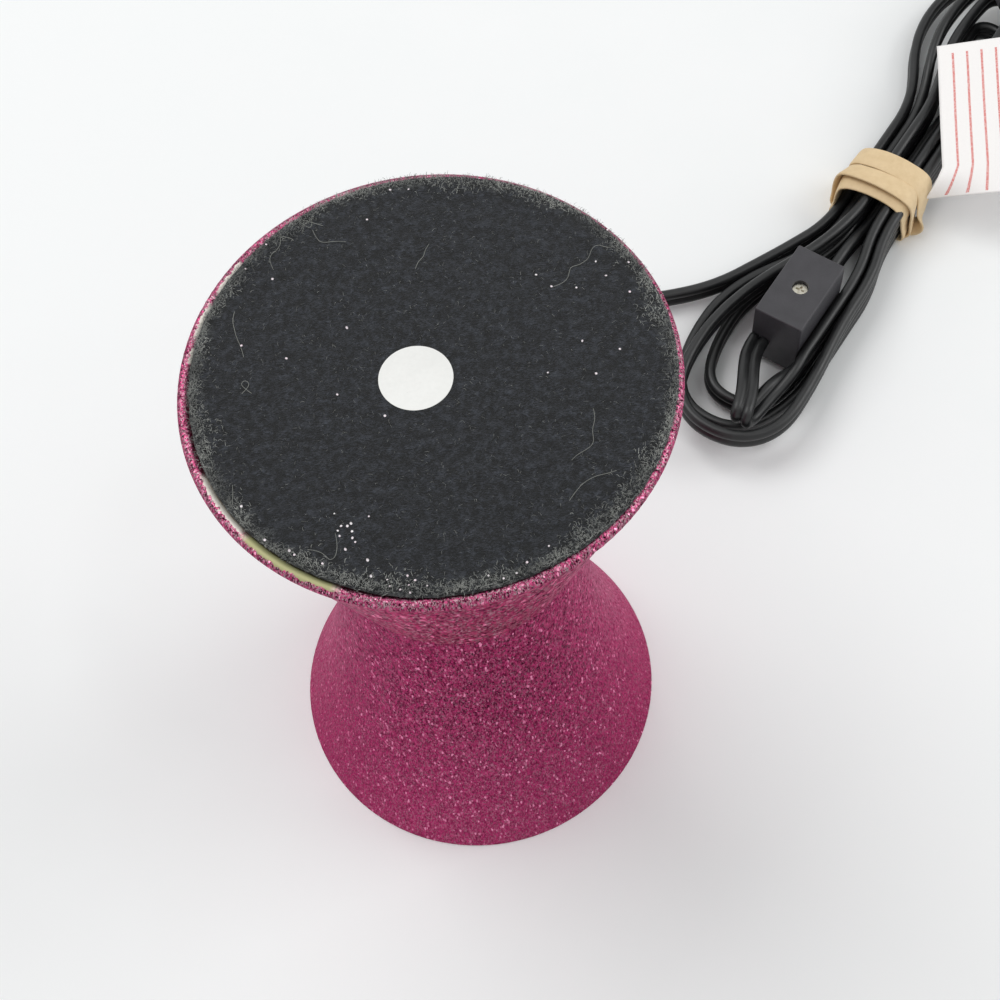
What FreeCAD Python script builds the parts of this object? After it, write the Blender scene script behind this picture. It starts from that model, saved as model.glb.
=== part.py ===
"""The base of a liquid motion lamp, upside down on its cup rim, with its cord, switch and plug.

Millimetres. The origin is on the axis of the two cones, in the plane of the cup rim, and +Z is up.
"""
import FreeCAD
import Part
import math
import os

Vector = FreeCAD.Vector
os.makedirs("parts", exist_ok=True)

# Overall height, from the table to the face of the felt
overall_height = 153.9

# Cup: the flared lower shell, open end down
cup_rim_radius = 45.5
cup_height = 90.0
waist_radius = 28.0
shell_wall = 0.8
rim_hem_width = 1.6
rim_hem_height = 1.6
rim_edge_round = 0.3

# Foot: the upper cone, open end up, with its edge rolled
foot_rim_radius = 47.5
rolled_edge_radius = 1.3

# Board and felt that close the foot, and the round sticker
board_gap = 0.3
board_thickness = 1.5
felt_gap = 0.1
felt_thickness = 1.2
felt_edge_margin = 1.8
felt_radius = foot_rim_radius - felt_edge_margin
felt_shift_x = 0.7
felt_edge_round = 0.5
sticker_radius = 7.0
sticker_thickness = 0.15
sticker_x = -2.5
sticker_y = -1.0

# Threaded tube that clamps the cones at the waist, with its nut and washers
tube_radius = 5.1
tube_bore_radius = 3.7
tube_above_nut = 2.0
tube_chamfer = 0.5
tube_hole_gap = 0.2
thread_gap = 0.05
nut_across_flats = 14.3
nut_thickness = 3.2
washer_radius = 8.0
washer_thickness = 0.7
washer_notches = 12
washer_notch_radius = 0.6
sleeve_wall = 0.35
sleeve_flange_radius = 4.9
sleeve_flange_thickness = 1.0
sleeve_reach = 5.0

# Lamp holder, hung from the waist by a stirrup
bracket_width = 12.0
bracket_thickness = 1.2
bracket_leg_length = 18.5
bracket_bend_radius = 1.6
bracket_side_gap = 0.25
wire_room = 10.0
holder_radius = 12.0
holder_length = 26.0
holder_bore_radius = 9.6
holder_back = 4.0
holder_mouth_chamfer = 0.8
bracket_screw_radius = 1.25
bracket_screw_head_radius = 2.6
bracket_screw_head_height = 1.4
bracket_screw_depth = 1.6
bracket_screw_above_end = 4.0
wire_hole_offset = 5.0
wire_hole_depth = 2.6
contact_radius = 3.5
contact_thickness = 0.5
contact_rivet_radius = 1.2

# Screw thread of the bulb cap and its holder, drawn as rolled rings
thread_pitch = 2.8
thread_depth = 0.6
cap_thread_radius = 8.3
cap_thread_turns = 4
cap_wall = 0.3
holder_thread_turns = 5
holder_thread_wall = 0.3
thread_running_gap = 0.15

# Bulb, hanging with its tip down
bulb_length = 57.0
bulb_radius = 17.5
bulb_neck_radius = 6.9
bulb_wall = 0.7
bulb_cap_length = 19.0
bulb_tip_radius = 2.4
bulb_tip_height = 1.0
bulb_insulator_height = 3.0
bulb_contact_gap = 0.25
stem_radius = 2.6
stem_length = 17.0
support_wire_radius = 0.35
support_wire_length = 8.0
support_wire_spread = 5.0
filament_drop = 4.0
filament_wire_radius = 0.25

# Flat twin lead
lead_width = 6.2
lead_thickness = 3.1
wire_radius = 1.4
wire_spacing = 3.1
wire_stub = 2.5
wire_stub_at_holder = 1.0

# Boot where the lead goes through the foot's wall
boot_azimuth = math.radians(95.0)
boot_below_top = 29.9
boot_height = overall_height - boot_below_top
boot_hole_radius = 5.0
boot_hole_gap = 0.2
boot_flange_radius = 7.0
boot_flange_thickness = 2.0
boot_tail_length = 19.7
boot_base_radius = 5.4
boot_tip_radius = 3.9
boot_lock_radius = 6.0
boot_lock_thickness = 2.2
boot_seat_gap = 0.3
boot_lock_seat = 1.7

# Hank: its own axes start at the rubber band, u towards the lower loops and v to their right
hank_origin_x = 146.4
hank_origin_y = 132.7
hank_origin = Vector(hank_origin_x, hank_origin_y, 0)
hank_axis_u = Vector(-0.6799, -0.7333, 0).normalize()
hank_axis_v = Vector(-hank_axis_u.y, hank_axis_u.x, 0)
hank_lift = 1.5
layer_gap = 0.45
strand_step = 3.55
waist_half_length = 20.0
waist_join_u = 15.0
climb_start_u = 8.0
switch_exit_v = -4.5
half_turn_end_u = 97.4
return_v = 9.2
hank_join_u = 44.0
hank_join_v = -18.4
hank_join_angle = math.radians(154.0)
square_end = 6.2
sample_step = 0.8

# Rubber band round the hank's waist
band_gap = 0.4
band_thickness = 1.1
band_width = 10.0
band_u = 6.0
band_corner_radius = 2.0
band_floor_gap = 0.1

# Paper tag on the hank, sloping down towards the rubber band and up to its right
tag_length = 54.0
tag_width = 32.0
tag_thickness = 0.3
tag_corner_u = -43.8
tag_corner_v = -9.1
tag_corner_z = 18.9
tag_turn = 29.3
tag_slope = 2.9
tag_tilt = 14.0

# Inline switch, on its rocker, with its case screw up
switch_u = 58.9
switch_length = 25.4
switch_width = 14.7
switch_height = 21.6
switch_lift = 2.6
switch_wall = 1.6
switch_edge_round = 0.5
case_boss_radius = 2.8
case_screw_radius = 1.3
case_screw_head_radius = 2.1
case_screw_head_height = 1.3
case_screw_sink = 1.2
case_screw_length = 13.0
screw_gap = 0.2
web_height = 2.0
rocker_pivot_height = 3.4
rocker_half_length = 7.0
rocker_half_width = 4.5
rocker_hub_radius = 2.5
rocker_end_drop = 3.9
rocker_middle_drop = 5.4
rocker_end_top = 1.5
rocker_tilt = 12.0
rocker_side_gap = 1.0
rocker_end_gap = 0.9
pin_radius = 0.9
pin_bite = 1.0
pin_running_gap = 0.05
pin_press_gap = 0.02
bridge_length = 3.6
bridge_width = 6.0
bridge_thickness = 0.5
contact_strip_width = 2.4
contact_strip_thickness = 0.6
contact_strip_length = 5.5
contact_strip_spacing = 4.6
contact_make_gap = 0.3
core_radius = 0.7

# Plug, lying on the hank's upper loops
plug_u = -69.0
plug_v = 5.9
plug_length = 25.0
plug_width = 22.0
plug_thickness = 13.0
plug_neck_width = 13.0
plug_neck_thickness = 9.0
plug_neck_length = 6.0
plug_edge_round = 2.0
plug_rest_gap = 0.3
blade_spacing = 12.7
blade_thickness = 1.5
blade_length = 17.0
blade_seat = 6.0
wide_blade_width = 7.9
narrow_blade_width = 6.3
blade_hole_radius = 1.6
blade_hole_from_tip = 4.5
blade_corner = 1.0

# Heights that follow from the sizes above
waist_z = cup_height
foot_plate_top = waist_z + shell_wall
foot_cone_height = overall_height - cup_height - rolled_edge_radius - felt_gap - felt_thickness
rolled_edge_z = waist_z + foot_cone_height
rolled_edge_mid = foot_rim_radius - rolled_edge_radius
felt_bottom = rolled_edge_z + rolled_edge_radius + felt_gap
felt_top = felt_bottom + felt_thickness
bracket_top = waist_z - shell_wall - washer_thickness
bracket_bottom = bracket_top - bracket_thickness
tube_bottom = bracket_bottom - tube_chamfer
holder_top = bracket_bottom - wire_room
holder_floor = holder_top - holder_back
holder_mouth = holder_top - holder_length
bulb_top = holder_floor - contact_thickness - bulb_contact_gap
bulb_bottom = bulb_top - bulb_length
lower_strand_z = hank_lift + lead_width / 2
upper_strand_z = lower_strand_z + lead_width + layer_gap
hank_top = upper_strand_z + lead_width / 2
switch_top = switch_lift + switch_height
rocker_z = switch_lift + rocker_pivot_height
plug_z = hank_top + plug_rest_gap + plug_thickness / 2

# Directions of the boot, square to the foot's sloping wall
foot_slope = (rolled_edge_mid + rolled_edge_radius - shell_wall - waist_radius) / foot_cone_height
boot_tilt = math.atan(foot_slope)
boot_outward = Vector(math.cos(boot_azimuth), math.sin(boot_azimuth), 0)
boot_axis = (boot_outward * math.cos(boot_tilt) - Vector(0, 0, math.sin(boot_tilt))).normalize()
boot_seat = boot_outward * (waist_radius + foot_slope * (boot_height - waist_z)) + Vector(0, 0, boot_height)
boot_tip = boot_seat + boot_axis * (boot_seat_gap + boot_flange_thickness + boot_tail_length)
boot_inner_end = boot_seat - boot_axis * (boot_lock_seat + boot_lock_thickness)


def save(name, shape):
    """Write one sub-part's STEP file and print its solids and volume."""
    shape.exportStep("parts/" + name + ".step")
    print(f"{name:24s} solids {len(shape.Solids)}  volume {shape.Volume:10.1f}  valid {shape.isValid()}")


def turned(outline):
    """A solid of revolution about Z from a closed outline of (radius, height) points."""
    points = [Vector(r, 0, z) for r, z in outline]
    face = Part.Face(Part.makePolygon(points + points[:1]))
    return face.revolve(Vector(0, 0, 0), Vector(0, 0, 1), 360)


def ring(outer_radius, inner_radius, bottom, top):
    """A plain ring about Z between two heights."""
    return turned([(inner_radius, bottom), (outer_radius, bottom), (outer_radius, top), (inner_radius, top)])


def disc(radius, bottom, top):
    """A disc about Z between two heights."""
    return Part.makeCylinder(radius, top - bottom, Vector(0, 0, bottom))


def centred_box(length, width, bottom, top, x=0.0, y=0.0):
    """A box on X and Y, centred on a point, between two heights."""
    return Part.makeBox(length, width, top - bottom, Vector(x - length / 2, y - width / 2, bottom))


def rounded(shape, radius, keep):
    """The shape with the edges that the keep test picks rounded."""
    return shape.makeFillet(radius, [edge for edge in shape.Edges if keep(edge)])


def is_upright(edge):
    """True for a straight edge along Z."""
    start, end = edge.Vertexes[0].Point, edge.Vertexes[-1].Point
    return abs(start.x - end.x) < 1e-6 and abs(start.y - end.y) < 1e-6


# Paths of the lead


def arc_edge(start, direction, end):
    """The arc, or line, from start to end that leaves along a direction, and its direction at the end."""
    chord = end - start
    along = chord.dot(direction)
    sideways = chord - direction * along
    if sideways.Length < 1e-6 * chord.Length:
        return Part.LineSegment(start, end).toShape(), direction, math.inf
    side = Vector(sideways).normalize()
    turn = 2 * math.atan2(sideways.Length, along)
    radius = chord.Length / (2 * math.sin(turn / 2))
    centre = start + side * radius
    middle = centre - side * (radius * math.cos(turn / 2)) + direction * (radius * math.sin(turn / 2))
    leaving = direction * math.cos(turn) + side * math.sin(turn)
    return Part.Arc(start, middle, end).toShape(), leaving, radius


def biarc_edges(start, direction, end, end_direction):
    """Two arcs that meet tangent to each other and to the directions at both ends."""
    chord = end - start
    both = direction + end_direction
    reach = chord.dot(both)
    spare = 2 * (1 - direction.dot(end_direction))
    if spare < 1e-9:
        arm = chord.dot(chord) / (4 * chord.dot(end_direction))
    else:
        arm = (math.sqrt(reach * reach + spare * chord.dot(chord)) - reach) / spare
    joint = (start + direction * arm + end - end_direction * arm) * 0.5
    first, leaving, first_radius = arc_edge(start, direction, joint)
    second, _, second_radius = arc_edge(joint, leaving, end)
    return [first, second], min(first_radius, second_radius)


def run_path(points):
    """Straight runs joined by the largest tangent arcs that they leave room for, and the arcs' radii."""
    edges, radii, last = [], [], points[0]
    for before, corner, after in zip(points, points[1:], points[2:]):
        arriving = (corner - before).normalize()
        leaving = (after - corner).normalize()
        half_turn = arriving.getAngle(leaving) / 2
        trim = 0.45 * min((corner - before).Length, (after - corner).Length)
        begin, end = corner - arriving * trim, corner + leaving * trim
        inward = (leaving - arriving).normalize()
        radii.append(trim / math.tan(half_turn))
        middle = corner + inward * (radii[-1] * (1 / math.cos(half_turn) - 1))
        edges.append(Part.LineSegment(last, begin).toShape())
        edges.append(Part.Arc(begin, middle, end).toShape())
        last = end
    edges.append(Part.LineSegment(last, points[-1]).toShape())
    return Part.Wire(edges), radii


def carried_back(wide, points):
    """The lead's wide direction at the first point, when it is known at the last one."""
    directions = [(b - a).normalize() for a, b in zip(points, points[1:])]
    for before, after in reversed(list(zip(directions, directions[1:]))):
        axis = after.cross(before)
        wide = FreeCAD.Rotation(axis, math.degrees(before.getAngle(after))).multVec(wide)
    return wide


def lead_section(centre, direction, wide, width=lead_width, thickness=lead_thickness):
    """The lead's flat outline with round edges, square to its direction."""
    thin = direction.cross(wide).normalize() * (thickness / 2)
    reach = wide * (width / 2 - thickness / 2)
    round_reach = wide * (width / 2)
    a, b, c, d = centre + reach + thin, centre - reach + thin, centre - reach - thin, centre + reach - thin
    return Part.Wire([
        Part.LineSegment(a, b).toShape(),
        Part.Arc(b, centre - round_reach, c).toShape(),
        Part.LineSegment(c, d).toShape(),
        Part.Arc(d, centre + round_reach, a).toShape(),
    ])


def swept(path, section):
    """The closed solid that a section makes along a path."""
    return path.makePipeShell([section], True, False)


def flat_area(width, thickness):
    """The area of the lead's section."""
    return (width - thickness) * thickness + math.pi * thickness * thickness / 4


def report_tube(name, path, area, solid, radii):
    """Print a tube's length, its tightest radius and how its volume compares with its section and length."""
    share = solid.Volume / (area * path.Length)
    print(f"{name}: length {path.Length:.1f}, volume over section and length {share:.4f}")
    print(f"{name}: radii {[round(r, 1) for r in radii]}")


def wire_path_tube(name, points, radius):
    """A round wire along runs and arcs."""
    path, radii = run_path(points)
    direction = (points[1] - points[0]).normalize()
    section = Part.Wire([Part.makeCircle(radius, points[0], direction)])
    solid = swept(path, section)
    report_tube(name, path, math.pi * radius * radius, solid, radii)
    return solid


def least_gap(points, others, own_step):
    """The least gap between upright strands on the given centre points."""
    core = lead_width - lead_thickness
    same = others is points
    least = math.inf
    skip = int(4 * lead_width / own_step) if same else 0
    for index, p in enumerate(points):
        for q in others[index + skip:] if same else others:
            rise = max(0.0, abs(p.z - q.z) - core)
            least = min(least, math.hypot(p.x - q.x, p.y - q.y, rise) - lead_thickness)
    return least


# Cup and foot


def make_cup_shell():
    """The cup: a flared shell, upright at the waist, with a hemmed rim and a plate across its narrow end."""
    spread = cup_rim_radius - waist_radius
    flare_radius = (spread ** 2 + cup_height ** 2) / (2 * spread)

    def wall(depth, height):
        """A point of the flared wall, so deep inside its outer face, at a height."""
        drop = math.sqrt((flare_radius + depth) ** 2 - (waist_z - height) ** 2)
        return Vector(waist_radius + flare_radius - drop, 0, height)

    def wall_arc(depth, start, end):
        """The wall's arc between two heights."""
        return Part.Arc(wall(depth, start), wall(depth, (start + end) / 2), wall(depth, end)).toShape()

    hole = tube_radius + tube_hole_gap
    plate_bottom = waist_z - shell_wall
    hem = cup_rim_radius - rim_hem_width
    top_of_wall = [
        wall(0, waist_z), Vector(hole, 0, waist_z),
        Vector(hole, 0, plate_bottom), wall(shell_wall, plate_bottom)]
    rim = [
        wall(shell_wall, rim_hem_height), Vector(hem, 0, rim_hem_height - shell_wall), Vector(hem, 0, 0),
        Vector(cup_rim_radius - rim_edge_round, 0, 0), wall(0, rim_edge_round)]
    edges = [wall_arc(0, rim_edge_round, waist_z)] + Part.makePolygon(top_of_wall).Edges
    edges += [wall_arc(shell_wall, plate_bottom, rim_hem_height)] + Part.makePolygon(rim).Edges
    return Part.Face(Part.Wire(edges)).revolve(Vector(0, 0, 0), Vector(0, 0, 1), 360)


def make_foot_shell():
    """The foot: a thin cone with a plate across its narrow end, a rolled edge and the boot's hole."""
    edge_outer = foot_rim_radius - shell_wall
    outline = [
        (tube_radius + tube_hole_gap, waist_z),
        (waist_radius, waist_z),
        (edge_outer, rolled_edge_z),
        (edge_outer - shell_wall, rolled_edge_z),
        (waist_radius - shell_wall / 2, foot_plate_top),
        (tube_radius + tube_hole_gap, foot_plate_top),
    ]
    rolled_edge = Part.makeTorus(rolled_edge_mid, rolled_edge_radius, Vector(0, 0, rolled_edge_z))
    hole = Part.makeCylinder(
        boot_hole_radius, 8 * shell_wall, boot_seat - boot_axis * (4 * shell_wall), boot_axis)
    return turned(outline).fuse(rolled_edge).cut(hole).removeSplitter()


def make_bottom_board():
    """The board that closes the foot, inside its rolled edge."""
    radius = rolled_edge_mid - rolled_edge_radius - board_gap
    return disc(radius, felt_bottom - board_thickness, felt_bottom)


def make_felt_pad():
    """The felt, a little off the foot's middle."""
    pad = Part.makeCylinder(felt_radius, felt_thickness, Vector(felt_shift_x, 0, felt_bottom))
    pad = rounded(pad, felt_edge_round, lambda edge: abs(edge.BoundBox.ZMin - felt_top) < 1e-6)
    return pad.cut(make_inspection_sticker())


def make_inspection_sticker():
    """The round sticker, pressed into the felt until it is flush."""
    base = Vector(sticker_x, sticker_y, felt_top - sticker_thickness)
    return Part.makeCylinder(sticker_radius, sticker_thickness, base)


# Clamp at the waist


def make_threaded_tube():
    """The hollow threaded tube through both cones and the stirrup."""
    top = foot_plate_top + washer_thickness + nut_thickness + tube_above_nut
    outline = [
        (tube_bore_radius, tube_bottom),
        (tube_radius - tube_chamfer, tube_bottom),
        (tube_radius, tube_bottom + tube_chamfer),
        (tube_radius, top - tube_chamfer),
        (tube_radius - tube_chamfer, top),
        (tube_bore_radius, top),
    ]
    return turned(outline)


def make_lock_washers():
    """Two notched washers, one each side of the waist."""
    def washer(bottom):
        plain = ring(washer_radius, tube_radius + tube_hole_gap, bottom, bottom + washer_thickness)
        for index in range(washer_notches):
            angle = 2 * math.pi * index / washer_notches
            place = Vector(washer_radius * math.cos(angle), washer_radius * math.sin(angle), bottom)
            plain = plain.cut(Part.makeCylinder(washer_notch_radius, washer_thickness, place))
        return plain
    return Part.makeCompound([washer(foot_plate_top), washer(bracket_top)])


def make_tube_nut():
    """The thin hex nut on the foot's side."""
    bottom = foot_plate_top + washer_thickness
    corner = nut_across_flats / math.sqrt(3)
    corners = [
        Vector(corner * math.cos(math.pi * k / 3), corner * math.sin(math.pi * k / 3), bottom)
        for k in range(6)
    ]
    hexagon = Part.Face(Part.makePolygon(corners + corners[:1])).extrude(Vector(0, 0, nut_thickness))
    return hexagon.cut(disc(tube_radius + thread_gap, bottom, bottom + nut_thickness))


def make_tube_bushing():
    """The insulating sleeve in the threaded tube's lower end."""
    outer = tube_bore_radius - thread_gap
    outline = [
        (outer - sleeve_wall, tube_bottom - sleeve_flange_thickness),
        (sleeve_flange_radius, tube_bottom - sleeve_flange_thickness),
        (sleeve_flange_radius, tube_bottom),
        (outer, tube_bottom),
        (outer, tube_bottom + sleeve_reach),
        (outer - sleeve_wall, tube_bottom + sleeve_reach),
    ]
    return turned(outline)


# Lamp holder


def make_holder_bracket():
    """The stirrup: a tapped plate with two legs down the holder's sides."""
    leg_in = holder_radius + bracket_side_gap
    leg_out = leg_in + bracket_thickness
    bottom = bracket_top - bracket_leg_length
    outer = centred_box(2 * leg_out, bracket_width, bottom, bracket_top)
    outer = rounded(outer, bracket_bend_radius, lambda edge: (
        abs(edge.BoundBox.ZMin - bracket_top) < 1e-6 and edge.BoundBox.XLength < 1e-6))
    inner = centred_box(2 * leg_in, bracket_width, bottom, bracket_bottom)
    stirrup = outer.cut(inner)
    stirrup = stirrup.cut(disc(tube_radius + thread_gap, bracket_bottom, bracket_top))
    hole = Part.makeCylinder(
        bracket_screw_radius + thread_gap, 2 * leg_out, Vector(-leg_out, 0, bottom + bracket_screw_above_end),
        Vector(1, 0, 0))
    return stirrup.cut(hole)


def bracket_screw_height():
    """The height of the screws that hold the stirrup to the holder."""
    return bracket_top - bracket_leg_length + bracket_screw_above_end


def make_bracket_screws():
    """Two screws through the stirrup's legs into the holder."""
    seat = holder_radius + bracket_side_gap + bracket_thickness
    screws = []
    for side in (1, -1):
        outward = Vector(side, 0, 0)
        shank_start = Vector(side * (holder_radius - bracket_screw_depth), 0, bracket_screw_height())
        shank = Part.makeCylinder(
            bracket_screw_radius, seat - holder_radius + bracket_screw_depth, shank_start, outward)
        head = Part.makeCylinder(
            bracket_screw_head_radius, bracket_screw_head_height, Vector(side * seat, 0, bracket_screw_height()),
            outward)
        screws.append(shank.fuse(head).removeSplitter())
    return Part.makeCompound(screws)


def make_holder_body():
    """The insulating body: a cup with two wire holes, a rivet hole and two screw holes."""
    outline = [
        (0, holder_top),
        (holder_radius, holder_top),
        (holder_radius, holder_mouth + holder_mouth_chamfer),
        (holder_radius - holder_mouth_chamfer, holder_mouth),
        (holder_bore_radius, holder_mouth),
        (holder_bore_radius, holder_floor),
        (0, holder_floor),
    ]
    body = turned(outline)
    for side in (1, -1):
        wire_hole = Part.makeCylinder(
            wire_radius + thread_gap, wire_hole_depth,
            Vector(side * wire_hole_offset, 0, holder_top - wire_hole_depth))
        screw_hole = Part.makeCylinder(
            bracket_screw_radius + thread_gap, bracket_screw_depth + thread_gap,
            Vector(side * (holder_radius - bracket_screw_depth - thread_gap), 0, bracket_screw_height()),
            Vector(side, 0, 0))
        body = body.cut(wire_hole).cut(screw_hole)
    return body.cut(disc(contact_rivet_radius + thread_gap, holder_floor, holder_top))


def thread_outline(crest, start, turns):
    """Zigzag (radius, height) points of rolled rings that go down from a start height."""
    points = []
    for turn in range(turns):
        top = start - turn * thread_pitch
        points.append((crest - thread_depth, top))
        points.append((crest, top - thread_pitch / 2))
    points.append((crest - thread_depth, start - turns * thread_pitch))
    return points


def make_holder_thread():
    """The holder's screw shell, seated on the holder's floor, with rings round the bulb cap's at a gap."""
    crest = cap_thread_radius + thread_running_gap
    start = bulb_top - bulb_tip_height - bulb_insulator_height
    inner = [(crest - thread_depth, holder_floor)] + thread_outline(crest, start, holder_thread_turns)
    outer = [(r + holder_thread_wall, z) for r, z in reversed(inner)]
    return turned(inner + outer)


def make_holder_contact():
    """The centre contact: a disc with a rivet through the holder's back."""
    contact = disc(contact_radius, holder_floor - contact_thickness, holder_floor)
    rivet = disc(contact_rivet_radius, holder_floor, holder_top)
    return contact.fuse(rivet).removeSplitter()


def make_supply_wire(name, side):
    """One wire from the threaded tube's end into the holder's back."""
    sleeve_end = tube_bottom - sleeve_flange_thickness
    points = [
        Vector(side * wire_spacing / 2, 0, sleeve_end),
        Vector(side * wire_spacing / 2, 0, sleeve_end - wire_stub),
        Vector(side * wire_hole_offset, 0, holder_top + wire_stub_at_holder),
        Vector(side * wire_hole_offset, 0, holder_top - wire_hole_depth),
    ]
    return wire_path_tube(name, points, wire_radius)


# Bulb


def make_bulb_cap():
    """The bulb's screw cap."""
    start = bulb_top - bulb_tip_height - bulb_insulator_height
    collar_end = bulb_top - bulb_cap_length
    rings = thread_outline(cap_thread_radius, start, cap_thread_turns)
    root = cap_thread_radius - thread_depth
    outer = rings + [(root, collar_end)]
    inner = [(root - cap_wall, collar_end)]
    inner += [(r - cap_wall, z) for r, z in reversed(rings)]
    return turned(outer + inner)


def make_bulb_insulator():
    """The black glass between the screw cap and the tip contact."""
    root = cap_thread_radius - thread_depth
    bottom = bulb_top - bulb_tip_height - bulb_insulator_height
    top = bulb_top - bulb_tip_height
    return turned([(0, bottom), (root, bottom), (bulb_tip_radius, top), (0, top)])


def make_bulb_tip():
    """The tip contact."""
    return disc(bulb_tip_radius, bulb_top - bulb_tip_height, bulb_top)


def bulb_outline(ball_radius, neck_radius, neck_z):
    """Edges of half a bulb: a round end, a flank tangent to it and a neck, as (radius, height) points."""
    centre_z = bulb_bottom + bulb_radius
    rise = neck_z - centre_z
    to_neck = math.hypot(neck_radius, rise)
    neck_angle = math.atan2(rise, neck_radius)
    tangent_angle = neck_angle - math.acos(ball_radius / to_neck)
    tangent = Vector(
        ball_radius * math.cos(tangent_angle), 0, centre_z + ball_radius * math.sin(tangent_angle))
    middle_angle = (tangent_angle - math.pi / 2) / 2
    middle = Vector(ball_radius * math.cos(middle_angle), 0, centre_z + ball_radius * math.sin(middle_angle))
    pole = Vector(0, 0, centre_z - ball_radius)
    neck = Vector(neck_radius, 0, neck_z)
    return pole, middle, tangent, neck


def make_bulb_glass():
    """The glass, a thin closed-end shell whose neck sits in the screw cap."""
    neck_z = bulb_top - bulb_cap_length
    neck_top = neck_z + thread_pitch
    inner_neck = bulb_neck_radius - bulb_wall
    pole, middle, tangent, neck = bulb_outline(bulb_radius, bulb_neck_radius, neck_z)
    pole_in, middle_in, tangent_in, neck_in = bulb_outline(bulb_radius - bulb_wall, inner_neck, neck_z)
    top_out, top_in = Vector(bulb_neck_radius, 0, neck_top), Vector(inner_neck, 0, neck_top)
    profile = Part.Wire([
        Part.Arc(pole, middle, tangent).toShape(),
        Part.LineSegment(tangent, neck).toShape(),
        Part.LineSegment(neck, top_out).toShape(),
        Part.LineSegment(top_out, top_in).toShape(),
        Part.LineSegment(top_in, neck_in).toShape(),
        Part.LineSegment(neck_in, tangent_in).toShape(),
        Part.Arc(tangent_in, middle_in, pole_in).toShape(),
        Part.LineSegment(pole_in, pole).toShape(),
    ])
    return Part.Face(profile).revolve(Vector(0, 0, 0), Vector(0, 0, 1), 360)


def stem_bottom():
    """The lower end of the glass stem inside the bulb."""
    return bulb_top - bulb_cap_length + thread_pitch - stem_length


def make_bulb_stem():
    """The glass stem, flared where it joins the neck."""
    top = bulb_top - bulb_cap_length + thread_pitch
    flare = bulb_neck_radius - bulb_wall - board_gap
    outline = [
        (0, stem_bottom()),
        (stem_radius, stem_bottom()),
        (stem_radius, top - 2 * stem_radius),
        (flare, top),
        (0, top),
    ]
    return turned(outline)


def make_bulb_filament():
    """Two support wires from the stem and the filament between them."""
    root_z = stem_bottom()
    tip_z = root_z - support_wire_length
    wires = []
    for side in (1, -1):
        root = Vector(side * stem_radius / 2, 0, root_z)
        tip = Vector(side * support_wire_spread, 0, tip_z)
        along = tip - root
        wires.append(Part.makeCylinder(support_wire_radius, along.Length, root, along))
        joint = Vector(0, 0, tip_z - filament_drop) - tip
        wires.append(Part.makeCylinder(filament_wire_radius, joint.Length, tip, joint))
        wires.append(Part.makeSphere(1.2 * support_wire_radius, tip))
    wires.append(Part.makeSphere(1.2 * filament_wire_radius, Vector(0, 0, tip_z - filament_drop)))
    filament = wires[0].multiFuse(wires[1:])
    return filament.cut(disc(stem_radius, root_z, root_z + stem_length))


# Lead into the foot


def boot_wide_direction():
    """The lead's wide direction where it leaves the boot."""
    return carried_back(Vector(0, 0, 1), stretch_points())


def make_strain_relief():
    """The rubber boot: a tapered tail, a flange outside the wall and a lock inside it."""
    tail_start = boot_seat + boot_axis * (boot_seat_gap + boot_flange_thickness)
    flange = Part.makeCylinder(
        boot_flange_radius, boot_flange_thickness, boot_seat + boot_axis * boot_seat_gap, boot_axis)
    tail = Part.makeCone(boot_base_radius, boot_tip_radius, boot_tail_length, tail_start, boot_axis)
    neck_length = boot_seat_gap + boot_lock_seat
    neck = Part.makeCylinder(
        boot_hole_radius - boot_hole_gap, neck_length, boot_seat - boot_axis * boot_lock_seat, boot_axis)
    lock = Part.makeCone(boot_tip_radius, boot_lock_radius, boot_lock_thickness, boot_inner_end, boot_axis)
    return flange.multiFuse([tail, neck, lock]).removeSplitter()


def make_inner_lead():
    """The twin lead from the boot over the foot's cavity and down the threaded tube."""
    inward = Vector(-boot_outward.x, -boot_outward.y, 0)
    start = boot_inner_end
    rising = start - boot_axis * 12.0
    shoulder = Vector(0, 0, rising.z - 1.5) - inward * 7.5
    over_tube = Vector(0, 0, foot_plate_top + 24.0)
    end = Vector(0, 0, tube_bottom + sleeve_reach)
    points = [start, rising, shoulder, over_tube, end]
    path, radii = run_path(points)
    direction = (points[1] - points[0]).normalize()
    wide = boot_wide_direction()
    wide = (wide - direction * wide.dot(direction)).normalize()
    solid = swept(path, lead_section(start, direction, wide))
    report_tube("inner_lead", path, flat_area(lead_width, lead_thickness), solid, radii)
    return solid


# Free stretch, from the boot down to the table and along it to the hank


def hank_point(u, v, z):
    """A point of the hank's own axes, in the part's frame."""
    return hank_origin + hank_axis_u * u + hank_axis_v * v + Vector(0, 0, z)


def hank_heading(angle):
    """A level direction at an angle from the hank's u axis."""
    return hank_axis_u * math.cos(angle) + hank_axis_v * math.sin(angle)


def stretch_points():
    """The route's hand-chosen points, from the boot's tip to the hank."""
    join = hank_point(hank_join_u, hank_join_v, lower_strand_z)
    return [
        boot_tip,
        boot_tip + boot_axis * 15.0,
        Vector(-7.0, 86.0, 95.0),
        Vector(-4.0, 97.0, 74.0),
        Vector(2.0, 104.5, 52.0),
        Vector(12.0, 107.5, 30.0),
        Vector(28.0, 107.0, 13.5),
        Vector(48.0, 106.5, 6.0),
        Vector(70.0, 105.8, lower_strand_z),
        join - hank_heading(hank_join_angle) * 17.0,
        join,
    ]


def make_lead_to_hank():
    """The free stretch of the lead."""
    points = stretch_points()
    path, radii = run_path(points)
    direction = (points[1] - points[0]).normalize()
    solid = swept(path, lead_section(points[0], direction, boot_wide_direction()))
    report_tube("lead_to_hank", path, flat_area(lead_width, lead_thickness), solid, radii)
    return solid


# Hank


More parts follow.
